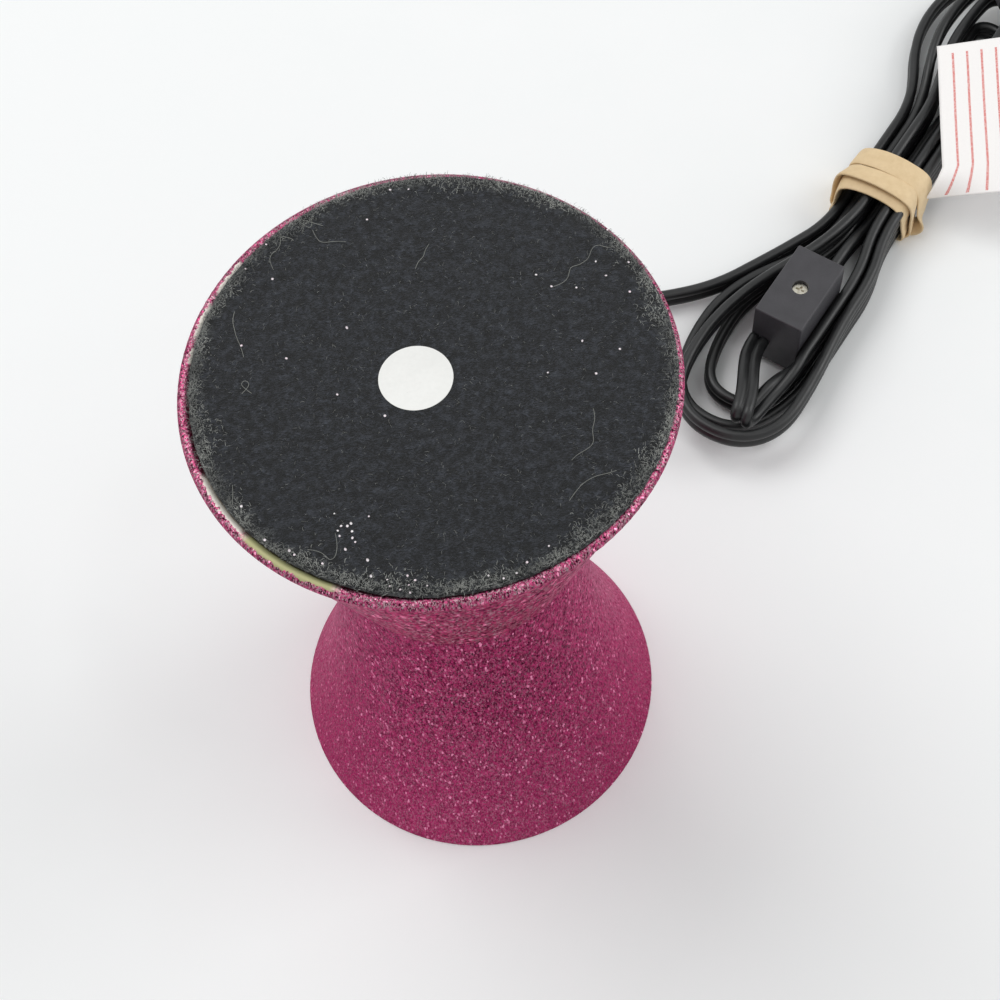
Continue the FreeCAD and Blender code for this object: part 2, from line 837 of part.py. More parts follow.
def knot(u, v, angle, z=lower_strand_z):
    """A point of the hank's route and the lead's direction there."""
    return hank_point(u, v, z), hank_heading(math.radians(angle))


def biarc_path(knots):
    """The wire of biarcs through knots, its least radius and points along it."""
    edges, least = [], math.inf
    for (start, direction), (end, end_direction) in zip(knots, knots[1:]):
        pair, radius = biarc_edges(start, direction, end, end_direction)
        edges += pair
        least = min(least, radius)
    return Part.Wire(edges), least


def hank_solid(name, knots):
    """The upright flat lead along a hank's knots, and its centre points."""
    path, least_radius = biarc_path(knots)
    start, direction = knots[0]
    solid = swept(path, lead_section(start, direction, Vector(0, 0, 1)))
    points = path.discretize(Distance=sample_step)
    share = solid.Volume / (flat_area(lead_width, lead_thickness) * path.Length)
    print(f"{name}: length {path.Length:.1f}, least radius {least_radius:.1f}, volume share {share:.4f}")
    print(f"{name}: least gap to itself {least_gap(points, points, sample_step):.2f}")
    return solid, points


def from_lamp_knots():
    """The lamp's side of the hank: four upper loops and three lower ones, then the climb to the switch."""
    low, high = lower_strand_z, upper_strand_z
    outer, middle, inner = 5 * strand_step / 2, 3 * strand_step / 2, strand_step / 2
    waist = waist_half_length
    entry_u = switch_u - switch_length / 2
    return [
        (hank_point(hank_join_u, hank_join_v, low), hank_heading(hank_join_angle)),
        # first upper loop and first lower loop, both in the lower layer
        knot(waist_join_u, -outer, 180), knot(-waist, -outer, 180),
        knot(-69.0, -20.5, 180), knot(-93.0, -2.0, 90), knot(-69.0, 17.3, 0),
        knot(-waist, outer, 0), knot(waist_join_u, outer, 0),
        knot(46.0, 12.95, 0), knot(73.0, 12.95, 0), knot(99.4, -5.0, -90), knot(73.0, -22.6, 180),
        knot(waist_join_u, -middle, 180), knot(-waist, -middle, 180),
        # second upper loop, which climbs, and second lower loop, both in the upper layer
        knot(-64.0, -13.0, 180, high), knot(-87.0, -0.5, 90, high), knot(-64.0, 13.0, 0, high),
        knot(-waist, outer, 0, high), knot(waist_join_u, outer, 0, high),
        knot(46.0, 12.95, 0, high), knot(87.0, 15.4, 0, high), knot(103.6, -1.4, -90, high),
        knot(85.0, -18.4, 180, high), knot(climb_start_u, -inner, 180, high), knot(-waist, -inner, 180, high),
        # third upper loop, which goes back down, and third lower loop
        knot(-62.0, -7.5, 180, high), knot(-80.0, 0.5, 90, high), knot(-62.0, 8.6, 0, high),
        knot(-waist, middle, 0), knot(waist_join_u, middle, 0),
        knot(46.0, 9.2, 0), knot(70.0, 9.2, 0), knot(90.5, -3.0, -90), knot(68.0, -16.0, 180),
        knot(waist, -inner, 180), knot(-waist, -inner, 180),
        # fourth upper loop, the climb and the square entry into the switch
        knot(-56.0, -5.5, 180), knot(-71.0, -0.9, 90), knot(-56.0, 3.7, 0),
        knot(-waist, inner, 0), knot(climb_start_u, inner, 0),
        knot(entry_u - square_end, inner, 0, high), knot(entry_u, inner, 0, high),
    ]


def to_plug_knots():
    """The plug's side of the hank: out of the switch, round a half turn, up the waist and to the plug."""
    high = upper_strand_z
    middle = 3 * strand_step / 2
    exit_u = switch_u + switch_length / 2
    return [
        knot(exit_u, switch_exit_v, 0, high), knot(93.6, -0.3, 26, high),
        knot(half_turn_end_u, 4.4, 90, high), knot(half_turn_end_u - 4.9, return_v, 180, high),
        knot(46.0, return_v, 180, high), knot(waist_join_u, middle, 180, high),
        knot(-waist_half_length, middle, 180, high),
        knot(plug_u + square_end, plug_v, 180, plug_z), knot(plug_u, plug_v, 180, plug_z),
    ]


def placed_on_hank(shape):
    """A shape drawn in the hank's own axes, put in the part's frame."""
    moved = shape.copy()
    turn = math.degrees(math.atan2(hank_axis_u.y, hank_axis_u.x))
    place = FreeCAD.Placement(hank_origin, FreeCAD.Rotation(Vector(0, 0, 1), turn))
    moved.Placement = place.multiply(moved.Placement)
    return moved


def make_rubber_band():
    """The band round the waist of the hank, under its strands and over them."""
    half_width = 5 * strand_step / 2 + lead_thickness / 2 + band_gap
    bottom, top = band_floor_gap + band_thickness, hank_top + band_gap

    def block(margin):
        raw = centred_box(band_width, 2 * (half_width + margin), bottom - margin, top + margin, band_u)
        return rounded(raw, band_corner_radius + margin, lambda edge: edge.BoundBox.XLength > band_width / 2)

    return placed_on_hank(block(band_thickness).cut(block(0.0)))


def make_cord_tag():
    """The paper tag, over the strands and beside the band."""
    sheet = Part.makeBox(tag_length, tag_width, tag_thickness)
    sheet.rotate(Vector(0, 0, 0), Vector(1, 0, 0), tag_tilt)
    sheet.rotate(Vector(0, 0, 0), Vector(0, 1, 0), tag_slope)
    sheet.rotate(Vector(0, 0, 0), Vector(0, 0, 1), tag_turn)
    sheet.translate(Vector(tag_corner_u, tag_corner_v, tag_corner_z))
    return placed_on_hank(sheet)


# Inline switch, drawn about its own middle with u as X


def on_switch(shape):
    """A switch piece put at its place on the hank."""
    moved = shape.copy()
    moved.translate(Vector(switch_u, 0, 0))
    return placed_on_hank(moved)


def tilted_rocker(shape):
    """A piece of the rocker turned from level to the side on which it rests."""
    moved = shape.copy()
    moved.rotate(Vector(0, 0, rocker_z), Vector(0, 1, 0), -rocker_tilt)
    return moved


def case_block(margin):
    """The switch case's block, or its cavity when the margin is the wall."""
    block = centred_box(
        switch_length - 2 * margin, switch_width - 2 * margin, switch_lift + margin, switch_top - margin)
    return block


def make_case_half(upper):
    """One half of the case, split level with the lead, with its share of the screw boss."""
    split = upper_strand_z
    outer = rounded(case_block(0.0), switch_edge_round, lambda edge: True)
    shell = outer.cut(case_block(switch_wall))
    keep_bottom, keep_top = (split, switch_top + 1) if upper else (switch_lift - 1, split)
    half = shell.common(centred_box(2 * switch_length, 2 * switch_width, keep_bottom, keep_top))
    inside_width = switch_width - 2 * switch_wall
    if upper:
        boss = disc(case_boss_radius, split, switch_top - switch_wall)
        half = half.fuse(boss)
        half = half.cut(disc(case_screw_radius + screw_gap, split, switch_top))
        sink = case_screw_sink + case_screw_head_height
        half = half.cut(disc(case_screw_head_radius + screw_gap, switch_top - sink, switch_top))
        return half.removeSplitter()
    web = centred_box(2 * case_boss_radius, inside_width, split - web_height, split)
    half = half.fuse(web)
    half = half.cut(disc(case_screw_radius + thread_gap, split - web_height, split))
    window = centred_box(
        2 * (rocker_half_length + rocker_end_gap), 2 * rocker_half_width + rocker_side_gap, switch_lift,
        switch_lift + switch_wall)
    half = half.cut(window)
    pin_hole = Part.makeCylinder(
        pin_radius + pin_press_gap, inside_width + 2 * pin_bite,
        Vector(0, -inside_width / 2 - pin_bite, rocker_z), Vector(0, 1, 0))
    return half.cut(pin_hole).removeSplitter()


def make_case_screw():
    """The pan-head screw, sunk in the upper half, with its cross slot."""
    head_bottom = switch_top - case_screw_sink - case_screw_head_height
    head_top = head_bottom + case_screw_head_height
    head = disc(case_screw_head_radius, head_bottom, head_top)
    shank = disc(case_screw_radius, head_bottom - case_screw_length + case_screw_head_height, head_bottom)
    screw = head.fuse(shank)
    slot = 2 * case_screw_head_radius * 0.6
    for length, width in ((slot, slot / 4), (slot / 4, slot)):
        screw = screw.cut(centred_box(length, width, head_top - case_screw_head_height / 2, head_top))
    return screw.removeSplitter()


def make_switch_rocker():
    """The rocker: a shallow V below its pivot, drawn level and then tipped to its rest."""
    low, middle = rocker_z - rocker_end_drop, rocker_z - rocker_middle_drop
    outline = [
        (-rocker_half_length, rocker_z - rocker_end_top),
        (-rocker_half_length, low),
        (0, middle),
        (rocker_half_length, low),
        (rocker_half_length, rocker_z - rocker_end_top),
    ]
    points = [Vector(x, -rocker_half_width, z) for x, z in outline]
    width = Vector(0, 2 * rocker_half_width, 0)
    paddle = Part.Face(Part.makePolygon(points + points[:1])).extrude(width)
    hub = Part.makeCylinder(
        rocker_hub_radius, 2 * rocker_half_width, Vector(0, -rocker_half_width, rocker_z), Vector(0, 1, 0))
    bore = Part.makeCylinder(
        pin_radius + pin_running_gap, 2 * rocker_half_width, Vector(0, -rocker_half_width, rocker_z),
        Vector(0, 1, 0))
    return tilted_rocker(paddle.fuse(hub).cut(bore).removeSplitter())


def make_rocker_pin():
    """The steel pin across the lower half."""
    length = switch_width - 2 * switch_wall + 2 * pin_bite
    return Part.makeCylinder(pin_radius, length, Vector(0, -length / 2, rocker_z), Vector(0, 1, 0))


def make_rocker_bridge():
    """The brass bridge on the rocker's inner side, which closes the two contacts."""
    bottom = rocker_z - rocker_end_top
    middle_x = -rocker_half_length + bridge_length / 2
    return tilted_rocker(
        centred_box(bridge_length, bridge_width, bottom, bottom + bridge_thickness, middle_x))


def bridge_reach():
    """The height of the bridge's top corner when the rocker is tipped fully over."""
    rise = bridge_thickness - rocker_end_top
    tip = math.radians(rocker_tilt)
    return rocker_z + rise * math.cos(tip) + rocker_half_length * math.sin(tip)


def make_switch_contacts():
    """Two fixed brass strips above the bridge, one for each end of the cut wire."""
    bottom = bridge_reach() + contact_make_gap
    middle_x = -switch_length / 2 + switch_wall + contact_strip_length / 2
    top = upper_strand_z + contact_strip_width
    strips = []
    for side in (1, -1):
        y = side * contact_strip_spacing / 2
        flat = centred_box(
            contact_strip_length, contact_strip_width, bottom, bottom + contact_strip_thickness, middle_x, y)
        upright = centred_box(
            contact_strip_thickness, contact_strip_width, bottom, top,
            -switch_length / 2 + switch_wall + contact_strip_thickness / 2, y)
        strips.append(flat.fuse(upright).removeSplitter())
    return Part.makeCompound(strips)


def make_switch_through_wire():
    """The uncut wire, which passes the screw boss from end to end of the case."""
    length = switch_length - 2 * switch_wall
    y = (case_boss_radius + switch_width / 2 - switch_wall) / 2
    z = upper_strand_z + lead_width / 4
    return Part.makeCylinder(core_radius, length, Vector(-length / 2, y, z), Vector(1, 0, 0))


# Plug, drawn with its cord end at the origin and its blades along -X


def on_plug(shape):
    """A plug piece put at its place on the hank."""
    moved = shape.copy()
    moved.translate(Vector(plug_u, plug_v, plug_z))
    return placed_on_hank(moved)


def plug_rectangle(x, width, thickness):
    """A rectangle square to X for the plug's loft."""
    corners = [
        Vector(x, -width / 2, -thickness / 2), Vector(x, width / 2, -thickness / 2),
        Vector(x, width / 2, thickness / 2), Vector(x, -width / 2, thickness / 2),
    ]
    return Part.makePolygon(corners + corners[:1])


def blade_pocket(side, width, gap):
    """The slot in the plug's face for a blade."""
    height = width + 2 * gap
    thick = blade_thickness + 2 * gap
    return Part.makeBox(
        blade_seat, thick, height, Vector(-plug_length, side * blade_spacing / 2 - thick / 2, -height / 2))


def make_plug_body():
    """The moulded body: a neck that widens to a block with rounded edges."""
    neck = Part.makeLoft([
        plug_rectangle(0, plug_neck_width, plug_neck_thickness),
        plug_rectangle(-plug_neck_length, plug_width, plug_thickness),
    ], True, True)
    block = Part.makeBox(
        plug_length - plug_neck_length, plug_width, plug_thickness,
        Vector(-plug_length, -plug_width / 2, -plug_thickness / 2))
    body = neck.fuse(block).removeSplitter()
    body = rounded(body, plug_edge_round, lambda edge: (
        edge.BoundBox.XLength > plug_neck_length - 1e-6 and edge.BoundBox.YLength < plug_width / 2))
    body = body.cut(blade_pocket(1, wide_blade_width, thread_gap))
    return body.cut(blade_pocket(-1, narrow_blade_width, thread_gap))


def make_plug_blade(side, width):
    """One flat blade with its hole and cut corners."""
    reach = blade_seat + blade_length
    tip = -plug_length - blade_length
    y = side * blade_spacing / 2 - blade_thickness / 2
    outline = [
        (tip + reach, -width / 2), (tip + reach, width / 2), (tip + blade_corner, width / 2),
        (tip, width / 2 - blade_corner), (tip, -width / 2 + blade_corner), (tip + blade_corner, -width / 2),
    ]
    points = [Vector(x, y, z) for x, z in outline]
    blade = Part.Face(Part.makePolygon(points + points[:1])).extrude(Vector(0, blade_thickness, 0))
    hole = Part.makeCylinder(
        blade_hole_radius, blade_thickness, Vector(tip + blade_hole_from_tip, y, 0), Vector(0, 1, 0))
    return blade.cut(hole)


# Every sub-part, in the order in which the lamp is put together
save("cup_shell", make_cup_shell())
save("foot_shell", make_foot_shell())
save("threaded_tube", make_threaded_tube())
save("lock_washers", make_lock_washers())
save("tube_nut", make_tube_nut())
save("tube_bushing", make_tube_bushing())
save("holder_bracket", make_holder_bracket())
save("bracket_screws", make_bracket_screws())
save("holder_body", make_holder_body())
save("holder_thread", make_holder_thread())
save("holder_contact", make_holder_contact())
save("live_wire", make_supply_wire("live_wire", 1))
save("neutral_wire", make_supply_wire("neutral_wire", -1))
save("bulb_cap", make_bulb_cap())
save("bulb_insulator", make_bulb_insulator())
save("bulb_tip", make_bulb_tip())
save("bulb_glass", make_bulb_glass())
save("bulb_stem", make_bulb_stem())
save("bulb_filament", make_bulb_filament())
save("strain_relief", make_strain_relief())
save("inner_lead", make_inner_lead())
save("bottom_board", make_bottom_board())
save("felt_pad", make_felt_pad())
save("inspection_sticker", make_inspection_sticker())

save("lead_to_hank", make_lead_to_hank())
from_lamp, from_lamp_points = hank_solid("hank_from_lamp", from_lamp_knots())
to_plug, to_plug_points = hank_solid("hank_to_plug", to_plug_knots())
print(f"least gap between the two sides {least_gap(from_lamp_points, to_plug_points, sample_step):.2f}")
save("hank_from_lamp", from_lamp)
save("hank_to_plug", to_plug)
save("rubber_band", make_rubber_band())
save("cord_tag", make_cord_tag())

save("switch_upper_case", on_switch(make_case_half(True)))
save("switch_lower_case", on_switch(make_case_half(False)))
save("case_screw", on_switch(make_case_screw()))
save("switch_rocker", on_switch(make_switch_rocker()))
save("rocker_pin", on_switch(make_rocker_pin()))
save("rocker_bridge", on_switch(make_rocker_bridge()))
save("switch_contacts", on_switch(make_switch_contacts()))
save("switch_through_wire", on_switch(make_switch_through_wire()))

save("plug_body", on_plug(make_plug_body()))
save("plug_wide_blade", on_plug(make_plug_blade(1, wide_blade_width)))
save("plug_narrow_blade", on_plug(make_plug_blade(-1, narrow_blade_width)))
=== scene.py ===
"""The base of a liquid motion lamp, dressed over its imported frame.

The lamp stands upside down on its cup rim: a flared cup and a cone-shaped foot in glitter lacquer, felt with
a round paper sticker on top, a flat twin lead that runs to an inline switch and a banded hank, a tag and a
plug.
Every length here is in millimetres until a mesh is made, and every mesh is in metres in the frame's axes.
"""
from __future__ import annotations

import logging
import math
from dataclasses import dataclass, field
from enum import Enum
from functools import partial
from typing import Any, Callable, Mapping, Optional, Sequence

import bpy
import numpy as np
from mathutils import Matrix, Vector

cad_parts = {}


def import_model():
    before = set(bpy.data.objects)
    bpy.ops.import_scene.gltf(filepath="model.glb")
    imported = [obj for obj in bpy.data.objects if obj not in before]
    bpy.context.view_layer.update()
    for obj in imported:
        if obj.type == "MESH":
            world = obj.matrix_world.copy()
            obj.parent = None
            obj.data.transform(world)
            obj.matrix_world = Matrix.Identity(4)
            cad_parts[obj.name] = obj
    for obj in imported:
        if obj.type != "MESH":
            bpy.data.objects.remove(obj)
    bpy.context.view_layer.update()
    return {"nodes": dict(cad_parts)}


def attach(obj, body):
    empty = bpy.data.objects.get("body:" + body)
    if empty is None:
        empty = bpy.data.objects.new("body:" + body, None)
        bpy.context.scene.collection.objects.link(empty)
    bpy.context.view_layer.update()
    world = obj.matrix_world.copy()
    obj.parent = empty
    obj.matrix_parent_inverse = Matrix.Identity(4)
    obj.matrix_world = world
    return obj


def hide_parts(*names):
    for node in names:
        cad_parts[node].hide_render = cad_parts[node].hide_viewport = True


MM = 0.001
UP = np.array([0.0, 0.0, 1.0])
# How long one unit of a piece's own map is, on a tube and on the tag.
TUBE_TILE, TAG_TILE = 10.0, 100.0
LOG = logging.getLogger("motion_lamp")

Node = bpy.types.Node
Socket = bpy.types.NodeSocket
Piece = bpy.types.Object
AddNode = Callable[..., Node]

# A Mix node's inputs go by place, because its colours and its vectors share their names.
SHARE, VECTOR_A, VECTOR_B, COLOUR_A, COLOUR_B = 0, 4, 5, 6, 7

# Fractal noise lies round its middle, and mostly between its low and its high.
NOISE_LOW, NOISE_MIDDLE, NOISE_HIGH = 0.3, 0.5, 0.7


# Shared tools for nodes, meshes and paths


def linear(hex_colour: str) -> tuple[float, float, float, float]:
    """Turn an sRGB hex colour into linear light, by the curve of the sRGB standard.

    Args:
        hex_colour: Six hex digits.

    Returns:
        Red, green, blue and an alpha of one.
    """
    channels = np.array([int(hex_colour[i:i + 2], 16) for i in (0, 2, 4)]) / 255.0
    low, high = channels / 12.92, ((channels + 0.055) / 1.055) ** 2.4
    red, green, blue = np.where(channels <= 0.04045, low, high)
    return float(red), float(green), float(blue), 1.0


def add_node(
    tree: bpy.types.NodeTree, kind: str, links: Optional[Mapping[Any, Any]] = None, **settings: Any
) -> Node:
    """Add a node with its settings, its values and what it is linked to.

    Args:
        tree: The tree that the node goes into.
        kind: The node's type name, less its leading ShaderNode.
        links: Input name or place to a socket, or to a node, which stands for its first output in use. Both
            are linked, and any other value is set.
        **settings: Properties of the node itself.

    Returns:
        The new node.
    """
    node = tree.nodes.new("ShaderNode" + kind)
    for name, value in settings.items():
        setattr(node, name, value)
    for name, value in (links or {}).items():
        if isinstance(value, Node):
            value = next(output for output in value.outputs if output.enabled)
        if isinstance(value, Socket):
            tree.links.new(value, node.inputs[name])
        else:
            node.inputs[name].default_value = value
    return node


def make_mesh(
    name: str, points: np.ndarray, faces: np.ndarray, uv: Optional[np.ndarray] = None, smooth: bool = True
) -> Piece:
    """Put a finished mesh into the scene as an object at the origin.

    Args:
        name: The piece's name.
        points: Vertices in millimetres, one row each.
        faces: Vertex indices, one row of three or four a face.
        uv: One pair a face corner, or None.
        smooth: Whether the faces shade smoothly.

    Returns:
        The object.
    """
    mesh = bpy.data.meshes.new(name)
    mesh.vertices.add(len(points))
    mesh.vertices.foreach_set("co", (np.asarray(points, float) * MM).ravel())
    mesh.loops.add(faces.size)
    mesh.loops.foreach_set("vertex_index", faces.ravel())
    mesh.polygons.add(len(faces))
    mesh.polygons.foreach_set("loop_start", np.arange(0, faces.size, faces.shape[1]))
    mesh.polygons.foreach_set("use_smooth", np.full(len(faces), smooth))
    if uv is not None:
        mesh.uv_layers.new(name="UVMap").data.foreach_set("uv", uv.ravel())
    mesh.update(calc_edges=True)
    mesh.validate()
    piece = bpy.data.objects.new(name, mesh)
    bpy.context.scene.collection.objects.link(piece)
    return piece


def grid_faces(
    rows: int, columns: int, closed_rows: bool = False, closed_columns: bool = False
) -> np.ndarray:
    """Quads between the neighbours of a grid of points.

    Args:
        rows: Number of rows.
        columns: Number of points in each row.
        closed_rows: Whether the last row joins the first.
        closed_columns: Whether each row's last point joins its first.

    Returns:
        One row of four indices a quad.
    """
    down = np.arange(rows if closed_rows else rows - 1)[:, None]
    along = np.arange(columns if closed_columns else columns - 1)[None, :]
    after_row, after_column = (down + 1) % rows, (along + 1) % columns
    corners = (
        down * columns + along, down * columns + after_column,
        after_row * columns + after_column, after_row * columns + along,
    )
    return np.stack([np.broadcast_to(c, (down.size, along.size)) for c in corners], -1).reshape(-1, 4)


def unit(rows: np.ndarray) -> np.ndarray:
    """Each row divided by its length."""
    return rows / np.maximum(np.linalg.norm(rows, axis=-1, keepdims=True), 1e-12)


def square_to(wide: np.ndarray, along: np.ndarray) -> np.ndarray:
    """Directions less their part along a line's own unit directions, at unit length."""
    return unit(wide - along * (wide * along).sum(-1, keepdims=True))


def distances(points: np.ndarray) -> np.ndarray:
    """How far along their line the points lie from the first of them."""
    return np.concatenate([[0.0], np.cumsum(np.linalg.norm(np.diff(points, axis=0), axis=1))])


def sweep_points(path: np.ndarray, profile: np.ndarray, wide: np.ndarray) -> np.ndarray:
    """Carry a flat profile along a path.

    A ring's point is the path's point plus the profile's first coordinate along the wide direction and its
    second along the direction square to both the path and the wide direction.

    Args:
        path: Points of the path.
        profile: Pairs, in order round the section.
        wide: A direction for each point of the path.

    Returns:
        An array of rings of points.
    """
    along = unit(np.gradient(path, axis=0))
    wide = square_to(wide, along)
    thin = np.cross(along, wide)
    return path[:, None] + profile[None, :, :1] * wide[:, None] + profile[None, :, 1:] * thin[:, None]


def spokes(lines: np.ndarray, degrees: Sequence[float]) -> np.ndarray:
    """Directions from points of lines to the corners of a small tube's section round them.

    A corner is the cosine of its angle along the level direction square to the line, plus the sine of its
    angle along the direction square to both.

    Args:
        lines: An array of (line, point, xyz).
        degrees: Each corner's angle.

    Returns:
        An array of (line, point, corner, xyz).
    """
    along = unit(np.gradient(lines, axis=1))
    side = unit(np.cross(along, UP))
    turn = np.radians(degrees)[:, None]
    return side[:, :, None] * np.cos(turn) + np.cross(side, along)[:, :, None] * np.sin(turn)


def capped_tube(name: str, rings: np.ndarray) -> Piece:
    """A closed tube from rings of points, with a pole at each end.

    Its own map runs along the tube in U and round it in V, and one unit of it is a tile's length.

    Args:
        name: The piece's name.
        rings: An array of rings of points.

    Returns:
        The object.
    """
    count, size = rings.shape[:2]
    points = np.concatenate([rings.reshape(-1, 3), rings[:1].mean(1), rings[-1:].mean(1)])
    quads = grid_faces(count, size, closed_columns=True)
    ring = np.arange(size)
    first = np.stack([ring, np.full(size, count * size), (ring + 1) % size], 1)
    last = np.stack([(ring + 1) % size, np.full(size, count * size + 1), ring], 1)
    last[:, [0, 2]] += (count - 1) * size
    faces = np.concatenate([quads[:, [0, 1, 2]], quads[:, [0, 2, 3]], first, last])
    run = distances(rings.mean(1)) / TUBE_TILE
    around = np.linalg.norm(rings[0] - np.roll(rings[0], -1, 0), axis=1).sum() / TUBE_TILE
    at = np.concatenate([np.repeat(run, size), [run[0], run[-1]]])
    turn = np.concatenate([np.tile(ring / size, count), [0.5, 0.5]]) * around
    uv = np.stack([at[faces], turn[faces]], -1)
    seam = uv[..., 1].max(1) - uv[..., 1].min(1) > 0.5 * around
    uv[seam, :, 1] = np.where(uv[seam, :, 1] < 0.5 * around, uv[seam, :, 1] + around, uv[seam, :, 1])
    piece = make_mesh(name, points, faces, uv.reshape(-1, 2))
    face_outwards(piece)
    return piece


def face_outwards(piece: Piece) -> None:
    """Turn a closed mesh inside out where its signed volume is below nought.

    The volume is the sum of each triangle's first corner times the cross of its other two.

    Args:
        piece: The object.
    """
    mesh = piece.data
    mesh.calc_loop_triangles()
    corners = np.empty(len(mesh.vertices) * 3)
    mesh.vertices.foreach_get("co", corners)
    triangles = np.empty(len(mesh.loop_triangles) * 3, int)
    mesh.loop_triangles.foreach_get("vertices", triangles)
    a, b, c = corners.reshape(-1, 3)[triangles.reshape(-1, 3)].transpose(1, 0, 2)
    if (a * np.cross(b, c)).sum() < 0:
        mesh.flip_normals()


def smooth_line(route: np.ndarray, resolution: int = 12) -> np.ndarray:
    """Points of a smooth spline that has the route's points as its control points.

    Args:
        route: Control points in millimetres.
        resolution: Steps between control points.

    Returns:
        The line's points in millimetres.
    """
    curve = bpy.data.curves.new("route", "CURVE")
    curve.dimensions = "3D"
    curve.resolution_u = resolution
    spline = curve.splines.new("NURBS")
    spline.points.add(len(route) - 1)
    spline.points.foreach_set("co", np.column_stack([route * MM, np.ones(len(route))]).ravel())
    spline.order_u = 3
    spline.use_endpoint_u = True
    line = bpy.data.objects.new("route", curve)
    bpy.context.scene.collection.objects.link(line)
    bpy.context.view_layer.update()
    mesh = bpy.data.meshes.new_from_object(line.evaluated_get(bpy.context.evaluated_depsgraph_get()))
    points = np.empty(len(mesh.vertices) * 3)
    mesh.vertices.foreach_get("co", points)
    bpy.data.meshes.remove(mesh)
    bpy.data.objects.remove(line)
    bpy.data.curves.remove(curve)
    return points.reshape(-1, 3) / MM


def even_steps(points: np.ndarray, step: float) -> np.ndarray:
    """The same line with its points an even step apart.

    Args:
        points: Points of a line.
        step: Distance between the new points.

    Returns:
        The new points.
    """
    run = distances(points)
    keep = np.concatenate([[True], np.diff(run) > 1e-9])
    at = np.linspace(0.0, run[-1], max(2, int(run[-1] / step) + 1))
    return np.stack([np.interp(at, run[keep], points[keep, axis]) for axis in range(3)], 1)


# Finishes


@dataclass(frozen=True)
class Finish:
    """A surface of two mingled tones with a fine grain, which is what most moulded and drawn parts show.

    The pattern is fractal noise at the grain's real size over a mottle some grains wide, in the object's
    own coordinates. The tones are the sums of both at which the surface is darkest and lightest.
    """

    name: str
    light: str
    dark: str
    grain: float = 0.6
    mottle: float = 12.0
    tones: tuple[float, float] = (0.7, 1.3)
    roughness: float = 0.5
    roughness_spread: float = 0.1
    metallic: float = 0.0
    relief: float = 0.01
    sheen: float = 0.0
    ior: float = 1.5
    transmission: float = 0.0

    def build(self) -> bpy.types.Material:
        """Make the material. A metal keeps the shader's own IOR.

        Returns:
            The material, with its shader linked to the output.
        """
        material = bpy.data.materials.new(self.name)
        material.use_nodes = True
        material.node_tree.nodes.clear()
        add = partial(add_node, material.node_tree)
        values: dict[str, Any] = {
            "Roughness": self.roughness, "Metallic": self.metallic, "Sheen Weight": self.sheen,
            "Sheen Roughness": 0.5, "Transmission Weight": self.transmission,
        }
        if self.metallic == 0.0:
            values["IOR"] = self.ior
        values.update(self.pattern(add, add("TexCoord").outputs["Object"]))
        add("OutputMaterial", {"Surface": add("BsdfPrincipled", values)})
        material.diffuse_color = linear(self.light)
        return material

    def pattern(self, add: AddNode, place: Socket) -> dict[str, Any]:
        """The colour, roughness and normal of the surface.

        Args:
            add: Adds a node to the material.
            place: The object's own coordinates.

        Returns:
            Shader input name to what feeds it.
        """
        noise = add("TexNoise", {
            "Vector": place, "Scale": 1.0 / (self.grain * MM), "Detail": 4.0, "Roughness": 0.6})
        broad = add("TexNoise", {
            "Vector": place, "Scale": 1.0 / (self.mottle * self.grain * MM), "Detail": 3.0})
        both = add("Math", {0: noise, 1: broad}, operation="ADD")
        blend = add("MapRange", {"Value": both, "From Min": self.tones[0], "From Max": self.tones[1]})
        return {
            "Base Color": add("Mix", {
                SHARE: blend, COLOUR_A: linear(self.dark), COLOUR_B: linear(self.light)}, data_type="RGBA"),
            "Roughness": add("MapRange", {
                "Value": noise, "From Min": NOISE_LOW, "From Max": NOISE_HIGH,
                "To Min": self.roughness - self.roughness_spread,
                "To Max": self.roughness + self.roughness_spread}),
            "Normal": add("Bump", {"Height": noise, "Distance": self.relief * MM, "Strength": 1.0})}


@dataclass(frozen=True)
class Chip:
    """A stretch of the rolled edge where the coat is gone.

    It is given by its middle and half width in degrees, and by how far out from the lamp's axis it reaches.
    """

    middle: float
    half: float
    reach: float


